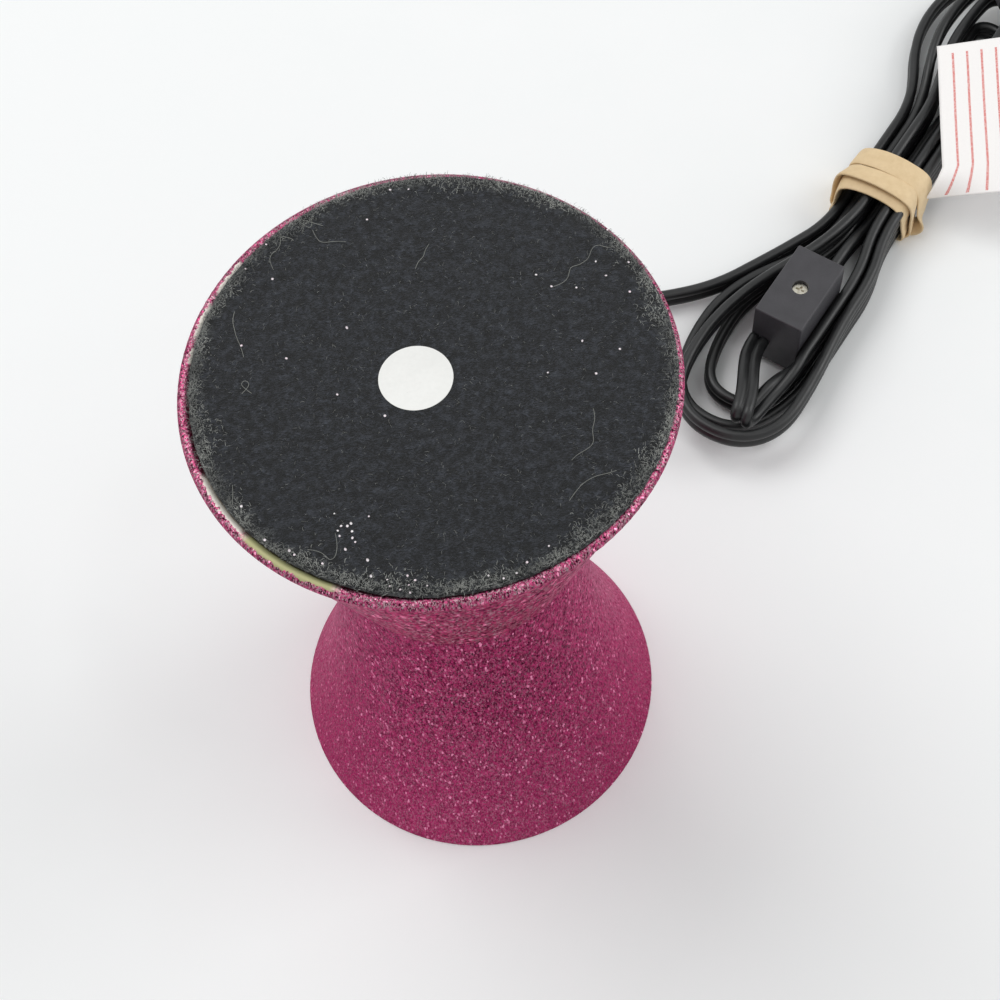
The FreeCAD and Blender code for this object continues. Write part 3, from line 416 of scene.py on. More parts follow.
@dataclass(frozen=True)
class GlitterLacquer(Finish):
    """Cut polyester glitter in a tinted lacquer, sprayed on the outside of spun aluminium.

    Each flake lies at its own small tilt in the normal, so under the lamps neighbours are lighter or darker,
    and its colour is drawn at random between the dark and the light tone. A few flakes are painted with a
    glint of pale pink, which stands in for light caught by a tilted flake. Some are painted paler towards a
    grey pink: partly pale flakes of the glitter itself and partly painted reflection of the table and sky.
    The flakes are cells of a Voronoi pattern. They are too fine to show, so they are drawn at about twice
    their real size, taller by one over the squash where the camera sees the wall at a slant, and larger still
    by one over the coarseness below coarse_below. Below thick_below the coat closes the dark gaps towards the
    cup's rim. Tones, pale_chances and glint_chances are the chances at which a flake starts to be light,
    paler or painted with the glint, and is fully so. A blend is the length over which one look turns into the
    next.
    """

    flake: float = 0.48
    fine: float = 1.9
    squash: float = 0.5
    tilt: float = 0.55
    tones: tuple[float, float] = (0.45, 1.6)
    # Paling towards a grey pink, partly pale flakes and partly painted reflection: where it starts and is
    # full, and how far it goes.
    pale_chances: tuple[float, float] = (0.55, 0.95)
    pale_most: float = 0.5
    glint_chances: tuple[float, float] = (0.94, 0.99)
    thick_below: float = 0.0
    thickness: float = 0.52
    coarse_below: float = -1.0
    coarseness: float = 0.45
    blend: float = 1.0
    # A pale pink painted on a few flakes: a painted glint, standing in for light caught by a tilted flake.
    painted_glint: str = "F59FC1"
    # The grey pink that some flakes are painted paler towards: partly pale flakes of the glitter, partly
    # painted reflection of the table and sky.
    silver_and_reflection: str = "B08494"
    glance: str = "F9B6CF"
    bare: str = "DAD6CC"
    bare_roughness: float = 0.5
    bare_metallic: float = 0.25
    primer: str = "A9AA7C"
    ragged: float = 1.6
    ragged_size: float = 0.9
    ragged_blend: float = 0.1
    chip_full: float = 0.8
    roll_height: float = 150.75
    roll_blend: float = 0.15
    chips: tuple[Chip, ...] = ()

    def pattern(self, add: AddNode, place: Socket) -> dict[str, Any]:
        """Flakes of mixed tone and tilt, with bare metal where there is no coat.

        The last of the chips shows the primer.

        Args:
            add: Adds a node to the material.
            place: The object's own coordinates.

        Returns:
            Shader input name to what feeds it.
        """
        height = add("SeparateXYZ", {0: place}).outputs["Z"]
        stretched = add("VectorMath", {0: place, 1: (1.0, 1.0, self.squash)}, operation="MULTIPLY")
        size = add("MapRange", {
            "Value": height, "From Min": self.coarse_below * MM,
            "From Max": (self.coarse_below + self.blend) * MM, "To Min": self.coarseness})
        spot = add("VectorMath", {0: stretched, "Scale": size}, operation="SCALE")
        cells, crumbs = (
            add("TexVoronoi", {"Vector": spot, "Scale": finer / (self.flake * MM)}, feature="F1")
            for finer in (1.0, self.fine))
        large, small = (
            add("SeparateColor", {0: flakes.outputs["Color"]}).outputs for flakes in (cells, crumbs))
        mixed = add("Math", {0: large["Red"], 1: small["Green"]}, operation="ADD")
        colour = add("Mix", {
            SHARE: add("MapRange", {
                "Value": height, "From Min": self.thick_below * MM, "From Max": -self.blend * MM,
                "To Max": self.thickness}),
            COLOUR_A: linear(self.dark), COLOUR_B: linear(self.light)}, data_type="RGBA")
        uncoated = self.chipped(add, place) if self.chips else self.inside(add, place)
        primed = self.window(add, place, self.chips[-1]) if self.chips else 0.0
        metal = add("Mix", {
            SHARE: primed, COLOUR_A: linear(self.bare), COLOUR_B: linear(self.primer)}, data_type="RGBA")
        # The flakes' own light and dark tones, then the paling towards grey pink, which is partly painted
        # reflection, then the painted glint.
        for chance, (low, high), most, over in (
            (mixed, self.tones, 1.0, self.light), (small["Blue"], self.pale_chances, self.pale_most, self.silver_and_reflection),
            (large["Green"], self.glint_chances, 1.0, self.painted_glint),
        ):
            share = add("MapRange", {"Value": chance, "From Min": low, "From Max": high, "To Max": most})
            colour = add("Mix", {SHARE: share, COLOUR_A: colour, COLOUR_B: linear(over)}, data_type="RGBA")
        colour = add("Mix", {SHARE: uncoated, COLOUR_A: colour, COLOUR_B: metal}, data_type="RGBA")
        normal = add("NewGeometry").outputs["Normal"]
        centred = add("VectorMath", {0: cells.outputs["Color"], 1: (0.5, 0.5, 0.5)}, operation="SUBTRACT")
        lean = add("VectorMath", {0: centred, "Scale": self.tilt}, operation="SCALE")
        leaning = add("VectorMath", {0: normal, 1: lean}, operation="ADD")
        facing = add("VectorMath", {0: leaning}, operation="NORMALIZE")
        return {
            "Base Color": colour,
            "Normal": add("Mix", {SHARE: uncoated, VECTOR_A: facing, VECTOR_B: normal}, data_type="VECTOR"),
            "Roughness": add("MapRange", {
                "Value": uncoated, "To Min": self.roughness, "To Max": self.bare_roughness}),
            "Metallic": add("MapRange", {
                "Value": uncoated, "To Min": self.metallic, "To Max": self.bare_metallic}),
            "Specular Tint": linear(self.glance), "Sheen Tint": linear(self.light)}

    def inside(self, add: AddNode, place: Socket) -> Node:
        """One where the shell faces its own axis, which the spray doesn't reach, and nought elsewhere.

        It faces the axis where its normal and the direction away from the axis have a product below nought.

        Args:
            add: Adds a node to the material.
            place: The object's own coordinates.

        Returns:
            The node that holds the result.
        """
        away = add("VectorMath", {0: place, 1: (1.0, 1.0, 0.0)}, operation="MULTIPLY")
        product = add("VectorMath", {
            0: away, 1: add("NewGeometry").outputs["Normal"]}, operation="DOT_PRODUCT")
        return add("MapRange", {"Value": product, "From Min": 0.0, "From Max": -self.blend * MM})

    def window(self, add: AddNode, place: Socket, chip: Chip) -> Node:
        """One inside a chip's stretch of angles and nought outside it.

        It is full from a share of the half width inwards. The angle from the chip's middle is the arc
        tangent of how far the point lies beside the middle's direction over how far it lies along it.

        Args:
            add: Adds a node to the material.
            place: The object's own coordinates.
            chip: The stretch.

        Returns:
            The node that holds the result.
        """
        half, turn = math.radians(chip.half), math.radians(chip.middle)
        beside, ahead = (
            add("VectorMath", {0: place, 1: direction}, operation="DOT_PRODUCT")
            for direction in ((-math.sin(turn), math.cos(turn), 0.0), (math.cos(turn), math.sin(turn), 0.0)))
        angle = add("Math", {0: beside, 1: ahead}, operation="ARCTAN2")
        off = add("Math", {0: angle}, operation="ABSOLUTE")
        return add("MapRange", {"Value": off, "From Min": half, "From Max": self.chip_full * half})

    def chipped(self, add: AddNode, place: Socket) -> Any:
        """One where the coat is gone: inside a chip's angles, on the roll, and nearer than its ragged reach.

        Args:
            add: Adds a node to the material.
            place: The object's own coordinates.

        Returns:
            The node that holds the result.
        """
        flat = add("VectorMath", {0: place, 1: (1.0, 1.0, 0.0)}, operation="MULTIPLY")
        radius = add("VectorMath", {0: flat}, operation="LENGTH")
        rough = add("TexNoise", {"Vector": place, "Scale": 1.0 / (self.ragged_size * MM), "Detail": 3.0})
        shifted = add("Math", {0: rough, 1: self.ragged * MM, 2: radius}, operation="MULTIPLY_ADD")
        total: Any = 0.0
        for chip in self.chips:
            limit, soft = (chip.reach + NOISE_MIDDLE * self.ragged) * MM, self.ragged_blend * MM
            near = add("MapRange", {"Value": shifted, "From Min": limit + soft, "From Max": limit - soft})
            here = add("Math", {0: near, 1: self.window(add, place, chip)}, operation="MULTIPLY")
            total = add("Math", {0: total, 1: here}, operation="MAXIMUM")
        high = add("MapRange", {
            "Value": add("SeparateXYZ", {0: place}).outputs["Z"],
            "From Min": (self.roll_height - self.roll_blend) * MM,
            "From Max": (self.roll_height + self.roll_blend) * MM})
        return add("Math", {0: total, 1: high}, operation="MULTIPLY")


@dataclass(frozen=True)
class NeedleFelt(Finish):
    """Pressed synthetic felt: short fibres lie flat and every way, and its cut edge is paler with fluff."""

    edge: str = "B2B4AC"
    middle_x: float = 0.7
    radius: float = 45.7
    border: tuple[float, float] = (-1.1, 2.8)
    tear: float = 5.0
    fibre: float = 0.7
    lays: tuple[tuple[float, float], ...] = ((0.4, 3.2), (1.5, 3.0), (2.6, 3.4))
    wander: float = 1.6
    wander_size: float = 2.5
    tuft: float = 0.3
    tuft_size: float = 1.6
    tear_size: float = 3.0
    lint_size: float = 4.5
    tones: tuple[float, float] = (0.68, 0.94)
    clumps: tuple[float, float] = (0.42, 0.66)
    least_lint: float = 0.25

    def pattern(self, add: AddNode, place: Socket) -> dict[str, Any]:
        """Crossed streaks of fibre about a millimetre long, with a ragged pale border.

        The streaks are noise squeezed across three directions, along a line that wanders, and the lightest
        of the three shows. The border starts and is full at its two distances from the felt's edge, where
        the distance has the tear's noise added.

        Args:
            add: Adds a node to the material.
            place: The object's own coordinates.

        Returns:
            Shader input name to what feeds it.
        """
        warp, tuft, torn, lint = (
            add("TexNoise", {"Vector": place, "Scale": 1.0 / (size * MM), "Detail": detail})
            for size, detail in (
                (self.wander_size, 2.0), (self.tuft_size, 4.0), (self.tear_size, 5.0), (self.lint_size, 4.0)))
        bent = add("VectorMath", {
            0: warp.outputs["Color"], 1: (self.wander * MM,) * 3, 2: place}, operation="MULTIPLY_ADD")
        fibre: Any = 0.0
        for turn, squeeze in self.lays:
            laid = add("Mapping", {
                "Vector": bent, "Rotation": (0.0, 0.0, turn), "Scale": (1.0, squeeze, 1.0)})
            streak = add("TexNoise", {
                "Vector": laid, "Scale": 1.0 / (self.fibre * MM), "Detail": 4.0, "Roughness": 0.75})
            fibre = add("Math", {0: fibre, 1: streak}, operation="MAXIMUM")
        mixed = add("Math", {0: tuft, 1: self.tuft, 2: fibre}, operation="MULTIPLY_ADD")
        blend = add("MapRange", {"Value": mixed, "From Min": self.tones[0], "From Max": self.tones[1]})
        colour = add("Mix", {
            SHARE: blend, COLOUR_A: linear(self.dark), COLOUR_B: linear(self.light)}, data_type="RGBA")
        centred = add("VectorMath", {0: place, 1: (-self.middle_x * MM, 0.0, 0.0)}, operation="ADD")
        flat = add("VectorMath", {0: centred, 1: (1.0, 1.0, 0.0)}, operation="MULTIPLY")
        out = add("VectorMath", {0: flat}, operation="LENGTH")
        ragged = add("Math", {0: torn, 1: self.tear * MM, 2: out}, operation="MULTIPLY_ADD")
        start, full = ((self.radius + past) * MM for past in self.border)
        matted = add("MapRange", {"Value": ragged, "From Min": start, "From Max": full})
        clump = add("MapRange", {
            "Value": lint, "From Min": self.clumps[0], "From Max": self.clumps[1],
            "To Min": self.least_lint})
        for share in (clump, blend):
            matted = add("Math", {0: matted, 1: share}, operation="MULTIPLY")
        return {
            "Base Color": add("Mix", {
                SHARE: matted, COLOUR_A: colour, COLOUR_B: linear(self.edge)}, data_type="RGBA"),
            "Normal": add("Bump", {"Height": fibre, "Distance": self.relief * MM, "Strength": 1.0})}


@dataclass(frozen=True)
class ExtrudedVinyl(Finish):
    """Soft vinyl drawn through a die: faint lines along the lead, a low gloss and dull handling marks.

    The lines follow the lead's own map, one unit of which is a tile's length, and the draw is how many lines
    there are to a unit along the lead and across it.
    """

    draw: tuple[float, float, float] = (1.5, 30.0, 1.0)
    marks: float = 4.0
    tones: tuple[float, float] = (0.35, 0.75)

    def pattern(self, add: AddNode, place: Socket) -> dict[str, Any]:
        """Lines along the lead and broad dull patches.

        Args:
            add: Adds a node to the material.
            place: The object's own coordinates.

        Returns:
            Shader input name to what feeds it.
        """
        drawn = add("Mapping", {"Vector": add("TexCoord").outputs["UV"], "Scale": self.draw})
        lines = add("TexNoise", {"Vector": drawn, "Scale": 1.0, "Detail": 4.0})
        marks = add("TexNoise", {
            "Vector": place, "Scale": 1.0 / (self.marks * MM), "Detail": 6.0, "Roughness": 0.7})
        blend = add("MapRange", {"Value": marks, "From Min": self.tones[0], "From Max": self.tones[1]})
        return {
            "Base Color": add("Mix", {
                SHARE: blend, COLOUR_A: linear(self.dark), COLOUR_B: linear(self.light)}, data_type="RGBA"),
            "Roughness": add("MapRange", {
                "Value": marks, "From Min": NOISE_LOW, "From Max": NOISE_HIGH,
                "To Min": self.roughness - self.roughness_spread,
                "To Max": self.roughness + self.roughness_spread}),
            "Normal": add("Bump", {"Height": lines, "Distance": self.relief * MM, "Strength": 1.0})}


@dataclass(frozen=True)
class RuledPaper(Finish):
    """Coated tag paper, white with plain red ruled lines across it.

    It reads the tag's own map: U from its top edge to its lower edge and V across it, one unit of which is a
    hundred millimetres.
    """

    ink: str = "D9534A"
    pitch: float = 4.2
    stroke: float = 0.16
    cover: tuple[float, float] = (0.45, 0.85)
    worn: tuple[float, float] = (NOISE_LOW, 0.6)
    wear: float = 0.5
    printed: tuple[tuple[float, float], ...] = ((0.035, 0.545), (0.03, 0.30))

    def pattern(self, add: AddNode, place: Socket) -> dict[str, Any]:
        """Straight worn rules inside a bare border, and a faint mottle.

        Args:
            add: Adds a node to the material.
            place: The object's own coordinates.

        Returns:
            Shader input name to what feeds it.
        """
        axes = add("SeparateXYZ", {0: add("TexCoord").outputs["UV"]}).outputs
        across = add("Math", {0: axes["Y"], 1: TAG_TILE / self.pitch}, operation="MULTIPLY")
        phase = add("Math", {0: across}, operation="FRACT")
        rule = add("Math", {0: phase, 1: self.stroke}, operation="LESS_THAN")
        worn = add("TexNoise", {"Vector": place, "Scale": 1.0 / (self.wear * MM), "Detail": 3.0})
        ink = add("MapRange", {
            "Value": worn, "From Min": self.worn[0], "From Max": self.worn[1],
            "To Min": self.cover[0], "To Max": self.cover[1]})
        held = add("Math", {0: rule, 1: ink}, operation="MULTIPLY")
        for axis, (low, high) in zip((axes["X"], axes["Y"]), self.printed):
            for limit, side in ((low, "GREATER_THAN"), (high, "LESS_THAN")):
                within = add("Math", {0: axis, 1: limit}, operation=side)
                held = add("Math", {0: held, 1: within}, operation="MULTIPLY")
        mottle = add("Mix", {
            SHARE: worn, COLOUR_A: linear(self.dark), COLOUR_B: linear(self.light)}, data_type="RGBA")
        return {"Base Color": add("Mix", {
            SHARE: held, COLOUR_A: mottle, COLOUR_B: linear(self.ink)}, data_type="RGBA")}


class Surface(Enum):
    """Every finish on the lamp, by what the real surface is."""

    # Spun aluminium sprayed with glitter in clear lacquer: a grainy pink, dark between its flakes, whose
    # sparkle is partly the tilted flakes under the lamps and partly a painted glint. On the foot's rolled
    # edge it is chipped down to the metal, and in one place to the primer.
    GLITTER_CUP = GlitterLacquer(
        "glitter_lacquer_cup", light="B23D6F", dark="2E0819", roughness=0.4, metallic=0.95, flake=0.43,
        squash=0.42, sheen=0.16, pale_most=0.5, painted_glint="E590B4", thick_below=60.0)
    # The foot's copy pales its flakes fully towards a greyer pink than the cup's: partly painted reflection
    # of the table, which the foot's underside faces.
    GLITTER_FOOT = GlitterLacquer(
        "glitter_lacquer_foot", light="C4527F", dark="260715", roughness=0.4, metallic=0.95, flake=0.37,
        squash=0.24, pale_most=1.0, silver_and_reflection="AE929A", coarse_below=149.0,
        chips=(Chip(140.2, 5.6, 46.2), Chip(153.5, 5.4, 46.2), Chip(163.6, 2.4, 45.9),
               Chip(206.0, 10.0, 46.2), Chip(228.5, 14.0, 46.75)))
    # Needled black polyester, pressed flat: matt, with a tangle of greyer fibres and lint along its edge.
    FELT = NeedleFelt("needle_felt", light="545963", dark="030508", roughness=0.95, relief=0.5, sheen=0.08)
    FIBRE = Finish("felt_fibre", light="D0D2CC", dark="3A3C3E", grain=0.5, roughness=0.8, relief=0.002)
    HAIR = Finish("stray_hair", light="A8AAA4", dark="7C7E79", grain=2.0, roughness=0.6, relief=0.001)
    SPECK = Finish("loose_glitter", light="FFFFFF", dark="F5DDE8", grain=1.0, roughness=0.25, relief=0.001)
    # Calendered paper with a smooth clay coat: nearly white and hardly glossy.
    STICKER = Finish(
        "coated_label_paper", light="EDEDEA", dark="E4E4E1", grain=0.8, roughness=0.55, relief=0.004)
    TAG = RuledPaper("coated_tag_paper", light="FCFAF8", dark="F6F3F1", roughness=0.55)
    # Wood fibre pressed with resin: brown, flecked and dull.
    FIBREBOARD = Finish(
        "pressed_fibreboard", light="8A6F52", dark="5F4A34", grain=0.9, roughness=0.85, relief=0.05)
    # Metals as the mill or the plating bath leaves them: a soft gloss, clouded by handling.
    ZINC = Finish(
        "zinc_plated_steel", light="C9C8C2", dark="9A9A96", grain=1.2, roughness=0.32, metallic=1.0,
        relief=0.004)
    SCREW = Finish(
        "nickel_plated_screw", light="D8D4C6", dark="A8A396", grain=0.8, roughness=0.28, metallic=1.0,
        relief=0.004)
    BRASS = Finish(
        "rolled_brass", light="D9B46A", dark="A98443", grain=1.1, roughness=0.3, metallic=1.0, relief=0.003)
    CAP = Finish(
        "drawn_aluminium", light="D3D3CF", dark="ABABA8", grain=1.4, roughness=0.3, metallic=1.0,
        relief=0.004)
    TUNGSTEN = Finish(
        "tungsten_wire", light="8F8C86", dark="605E5A", grain=0.4, roughness=0.4, metallic=1.0, relief=0.004)
    # Plastics shaped in a steel mould: a fine even texture on the case, a smooth dark gloss on the holder.
    CASE = Finish("moulded_abs", light="3C3B3F", dark="2E2D31", grain=0.35, roughness=0.5, relief=0.02)
    BOOT = Finish("moulded_boot_vinyl", light="1F2021", dark="131415", grain=0.5, roughness=0.5, relief=0.015)
    PHENOLIC = Finish("moulded_phenolic", light="2B2725", dark="1A1716", roughness=0.3, grain=1.0)
    SLEEVE = Finish("nylon_sleeve", light="D9D8CF", dark="C4C3B8", grain=0.7, roughness=0.45, relief=0.005)
    # Vinyl drawn through a die: a low gloss in faint lines along the lead.
    VINYL = ExtrudedVinyl(
        "extruded_vinyl", light="1D1E1F", dark="101112", roughness=0.4, roughness_spread=0.08, relief=0.03)
    # Soda glass, blown clear for the bulb and run in black round its tip: as smooth as fire leaves it.
    GLASS = Finish(
        "blown_glass", light="FFFFFF", dark="F4F8F6", grain=6.0, roughness=0.03, roughness_spread=0.02,
        relief=0.002, transmission=1.0, ior=1.45)
    BLACK_GLASS = Finish(
        "black_glass", light="22201F", dark="121111", grain=2.0, roughness=0.15, relief=0.004)
    # Natural rubber cut from a tube: tan, chalky and matt.
    BAND = Finish(
        "natural_rubber", light="E2C9A0", dark="D2B78C", grain=2.2, roughness=0.55, relief=0.03, sheen=0.05)
    # Laminate pressed on a flat plate: an even white with hardly a cloud in it.
    TABLE = Finish("white_laminate", light="F6F7F7", dark="F3F5F5", grain=40.0, roughness=0.6, relief=0.0)

    def material(self) -> bpy.types.Material:
        """The finish's material, made the first time it is asked for."""
        return bpy.data.materials.get(self.value.name) or self.value.build()


def dress(piece: Piece, surface: Surface) -> Piece:
    """Give a piece or a carried node one finish in all its material slots.

    Args:
        piece: The object to dress.
        surface: The finish.

    Returns:
        The same object.
    """
    if not piece.material_slots:
        piece.data.materials.append(surface.material())
    for place in piece.material_slots:
        place.link = "OBJECT"
        place.material = surface.material()
    return piece


def seat(piece: Piece, surface: Surface, slot: str, *nodes: str) -> Piece:
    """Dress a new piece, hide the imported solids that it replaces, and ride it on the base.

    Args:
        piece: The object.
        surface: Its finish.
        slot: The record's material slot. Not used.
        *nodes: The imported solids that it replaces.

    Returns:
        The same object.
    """
    dress(piece, surface)
    if nodes:
        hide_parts(*nodes)
    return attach(piece, "base")


# Camera, light and table


@dataclass(frozen=True)
class Lamp:
    """A square soft lamp, by where it hangs, how wide it is and its power in watts."""

    name: str
    place: tuple[float, float, float]
    size: float
    power: float


@dataclass
class Studio:
    """The camera at the photograph's angle, soft daylight from above and a white table."""

    place: tuple[float, float, float] = (0.0, -169.73, 421.23)
    pitch: float = 62.217
    yaw: float = 3.560
    roll: float = -6.419
    lens: float = 61.2
    sensor: float = 36.0
    near_clip: float = 0.01
    table_half: float = 2500.0
    lamps: tuple[Lamp, ...] = (
        Lamp("window", (-500.0, 600.0, 1400.0), 1000.0, 9.6),
        Lamp("far_window", (1300.0, 100.0, 900.0), 800.0, 6.0),
        Lamp("ceiling_lamp", (400.0, -300.0, 1300.0), 120.0, 0.6),
    )
    lamps_aim: tuple[float, float, float] = (0.0, 0.0, 50.0)
    sky: str = "FBFCFC"
    sky_on_objects: float = 0.57
    sky_seen: float = 0.85

    def axes(self) -> Matrix:
        """The camera's matrix: it looks down by the pitch, turned by the yaw and rolled about its own view.

        Returns:
            The matrix, whose columns are right, up and back.
        """
        pitch, yaw, roll = (math.radians(a) for a in (self.pitch, self.yaw, self.roll))
        ahead = Vector((math.sin(yaw) * math.cos(pitch), math.cos(yaw) * math.cos(pitch), -math.sin(pitch)))
        right = ahead.cross(Vector((0, 0, 1))).normalized()
        up = right.cross(ahead)
        across = math.cos(roll) * right + math.sin(roll) * up
        upward = -math.sin(roll) * right + math.cos(roll) * up
        turn = Matrix((across, upward, -ahead)).transposed()
        return Matrix.Translation(Vector(self.place) * MM) @ turn.to_4x4()

    def camera(self) -> None:
        """Make the camera and give it to the scene."""
        data = bpy.data.cameras.new("camera")
        data.lens = self.lens
        data.sensor_width = self.sensor
        data.clip_start = self.near_clip
        camera = bpy.data.objects.new("camera", data)
        bpy.context.scene.collection.objects.link(camera)
        camera.matrix_world = self.axes()
        bpy.context.scene.camera = camera

    def light(self) -> None:
        """Hang the lamps and make an even white sky, which is brighter where it is seen or mirrored."""
        for lamp in self.lamps:
            data = bpy.data.lights.new(lamp.name, "AREA")
            data.shape = "SQUARE"
            data.size = lamp.size * MM
            data.energy = lamp.power
            hung = bpy.data.objects.new(lamp.name, data)
            bpy.context.scene.collection.objects.link(hung)
            hung.location = Vector(lamp.place) * MM
            ray = Vector(self.lamps_aim) * MM - hung.location
            hung.rotation_euler = ray.to_track_quat("-Z", "Y").to_euler()
        world = bpy.data.worlds.new("sky")
        bpy.context.scene.world = world
        world.use_nodes = True
        world.node_tree.nodes.clear()
        add = partial(add_node, world.node_tree)
        rays = add("LightPath").outputs
        shown: Any = rays["Is Camera Ray"]
        for kind in ("Is Glossy Ray", "Is Transmission Ray"):
            shown = add("Math", {0: shown, 1: rays[kind]}, operation="MAXIMUM")
        strength = add("MapRange", {"Value": shown, "To Min": self.sky_on_objects, "To Max": self.sky_seen})
        sky = add("Background", {"Color": linear(self.sky), "Strength": strength})
        add("OutputWorld", {"Surface": sky})

    def table(self) -> None:
        """The table top, as one large square at height nought."""
        square = np.array([(-1, -1, 0), (1, -1, 0), (1, 1, 0), (-1, 1, 0)]) * self.table_half
        top = make_mesh("table", square, np.array([[0, 1, 2, 3]]), smooth=False)
        dress(top, Surface.TABLE)

    def build(self) -> None:
        """Make the camera, the lamps, the sky and the table."""
        self.camera()
        self.light()
        self.table()
        bpy.context.scene.view_settings.view_transform = "Standard"


# The lead and its hank


HANK_PLACE = np.array([146.4, 132.7, 0.0])
HANK_RUN = (-0.6799, -0.7333)
HANK_U = np.array([*HANK_RUN, 0.0]) / math.hypot(*HANK_RUN)
HANK_V = np.array([-HANK_U[1], HANK_U[0], 0.0])


def on_hank(points: Sequence[tuple[float, float, float]]) -> np.ndarray:
    """Points given along the hank, across it and up, put in the lamp's frame.

    Args:
        points: Rows of three lengths.

    Returns:
        Rows of x, y and z.
    """
    grid = np.asarray(points, float)
    return HANK_PLACE + grid[:, :1] * HANK_U + grid[:, 1:2] * HANK_V + grid[:, 2:] * UP


@dataclass
class TwinLead:
    """The flat twin lead: from its boot to the hank, round the hank to the switch, and on to the plug."""

    width: float = 6.2
    thickness: float = 3.1
    groove: float = 160.0
    wire_sides: int = 13
    step: float = 1.1
    flat_hold: float = 45.0
    flat_turn: float = 18.0
    stretch: tuple[tuple[float, float, float], ...] = (
        (-5.2, 59.2, 117.6), (-6.4, 73.5, 113.2), (-7.0, 86.0, 95.0), (-4.0, 97.0, 74.0),
        (2.0, 104.5, 52.0), (12.0, 107.5, 30.0), (28.0, 107.0, 13.5), (48.0, 106.5, 6.0),
        (70.0, 105.8, 4.6), (87.1, 106.8, 4.6), (103.0, 112.9, 4.6),
    )
    loops: tuple[tuple[float, float, float], ...] = (
        (37, -15, 4.6), (22.8, -8.9, 4.6), (6.3, -8.9, 4.6), (-11.2, -8.9, 4.6), (-32.9, -8.9, 4.6),
        (-56.1, -20.5, 4.6), (-77.9, -20.5, 4.6), (-93, -10.9, 4.6), (-93, 7.1, 4.6), (-78.1, 17.3, 4.6),
        (-56.4, 17.3, 4.6), (-32.6, 8.9, 4.6), (-11.3, 8.9, 4.6), (6.3, 8.9, 4.6), (22.9, 8.9, 4.6),
        (38.1, 12.9, 4.6), (52.8, 12.9, 4.6), (66.2, 13, 4.6), (82.5, 12.9, 4.6), (99.4, 4.5, 4.6),
        (99.4, -14.4, 4.6), (82.4, -22.6, 4.6), (57.2, -22.6, 4.6), (30.8, -5.3, 4.6), (6.2, -5.3, 4.6),
        (-11.2, -5.3, 4.6), (-31.6, -5.3, 4.6), (-52.4, -13, 11.25), (-71.9, -13, 11.25),
        (-87, -8.4, 11.25), (-87, 7.5, 11.25), (-72, 13, 11.25), (-52.9, 13, 11.25), (-31.1, 8.9, 11.25),
        (-11.3, 8.9, 11.25), (6.3, 8.9, 11.25), (22.9, 8.9, 11.25), (38.1, 12.9, 11.25),
        (56.3, 12.9, 11.25), (76.7, 15.4, 11.25), (95.2, 15.6, 11.25), (105.2, 6.2, 11.25),
        (105.2, -9.2, 11.25), (93.4, -18.6, 11.25), (64.9, -18.4, 11.25), (28.1, -1.8, 11.25),
        (1, -1.8, 11.25), (-13, -1.8, 11.25), (-30.7, -1.8, 11.25), (-51.3, -7.5, 11.25),
        (-68.1, -7.5, 11.25), (-80, -5.6, 11.25), (-80, 6.6, 11.25), (-68.1, 8.6, 11.25),
        (-51.2, 8.6, 11.25), (-30.8, 5.3, 4.6), (-11.3, 5.3, 4.6), (6.3, 5.3, 4.6), (22.9, 5.3, 4.6),
        (38.1, 9.2, 4.6), (52, 9.2, 4.6), (64, 9.2, 4.6), (77.1, 9.2, 4.6), (90.5, 4.1, 4.6),
        (90.5, -10.8, 4.6), (75.8, -16, 4.6), (54.9, -16, 4.6), (33.1, -1.8, 4.6), (10, -1.8, 4.6),
        (-10, -1.8, 4.6), (-29.1, -1.8, 4.6), (-46.9, -5.5, 4.6), (-61, -5.5, 4.6), (-71, -5.9, 4.6),
        (-71, 4.1, 4.6), (-61, 3.7, 4.6), (-47, 3.7, 4.6), (-29, 1.8, 4.6), (-13, 1.8, 4.6), (1, 1.8, 4.6),
        (16.3, 1.8, 4.6), (31.7, 1.8, 11.25), (41.6, 1.8, 11.25), (44.6, 1.8, 11.25), (46.2, 1.8, 11.25),
    )
    to_plug: tuple[tuple[float, float, float], ...] = (
        (71.6, -4.5, 11.25), (77, -4.2, 12), (83, -1.8, 13.8), (89, 1.2, 15.4), (93.6, 3.2, 16.1),
        (98.8, 4.6, 16.5), (99.4, 5, 13.2), (96, 5.4, 10.6), (91, 6, 10.6), (86, 6.6, 10.8),
        (80, 7.8, 11.1), (75, 9, 11.25), (69, 9.2, 11.25), (57.6, 9.2, 11.25),
        (38.1, 9.2, 11.25), (22.9, 5.3, 11.25), (6.2, 5.3, 11.25), (-11.2, 5.3, 11.25), (-31.3, 5.3, 11.25),
        (-51.5, 5.9, 21.15), (-64.3, 5.9, 21.15), (-67.4, 5.9, 21.15), (-69, 5.9, 21.15),
    )

    def section(self) -> np.ndarray:
        """The lead's outline: two round wires side by side, joined by a thin web between two grooves.

        Returns:
            Pairs across the lead's width and its thickness, in order round it.
        """
        radius = self.thickness / 2
        centre = self.width / 2 - radius
        turn = np.radians(np.linspace(-self.groove, self.groove, self.wire_sides))
        right = np.stack([centre + radius * np.cos(turn), radius * np.sin(turn)], 1)
        return np.concatenate([right, -right])

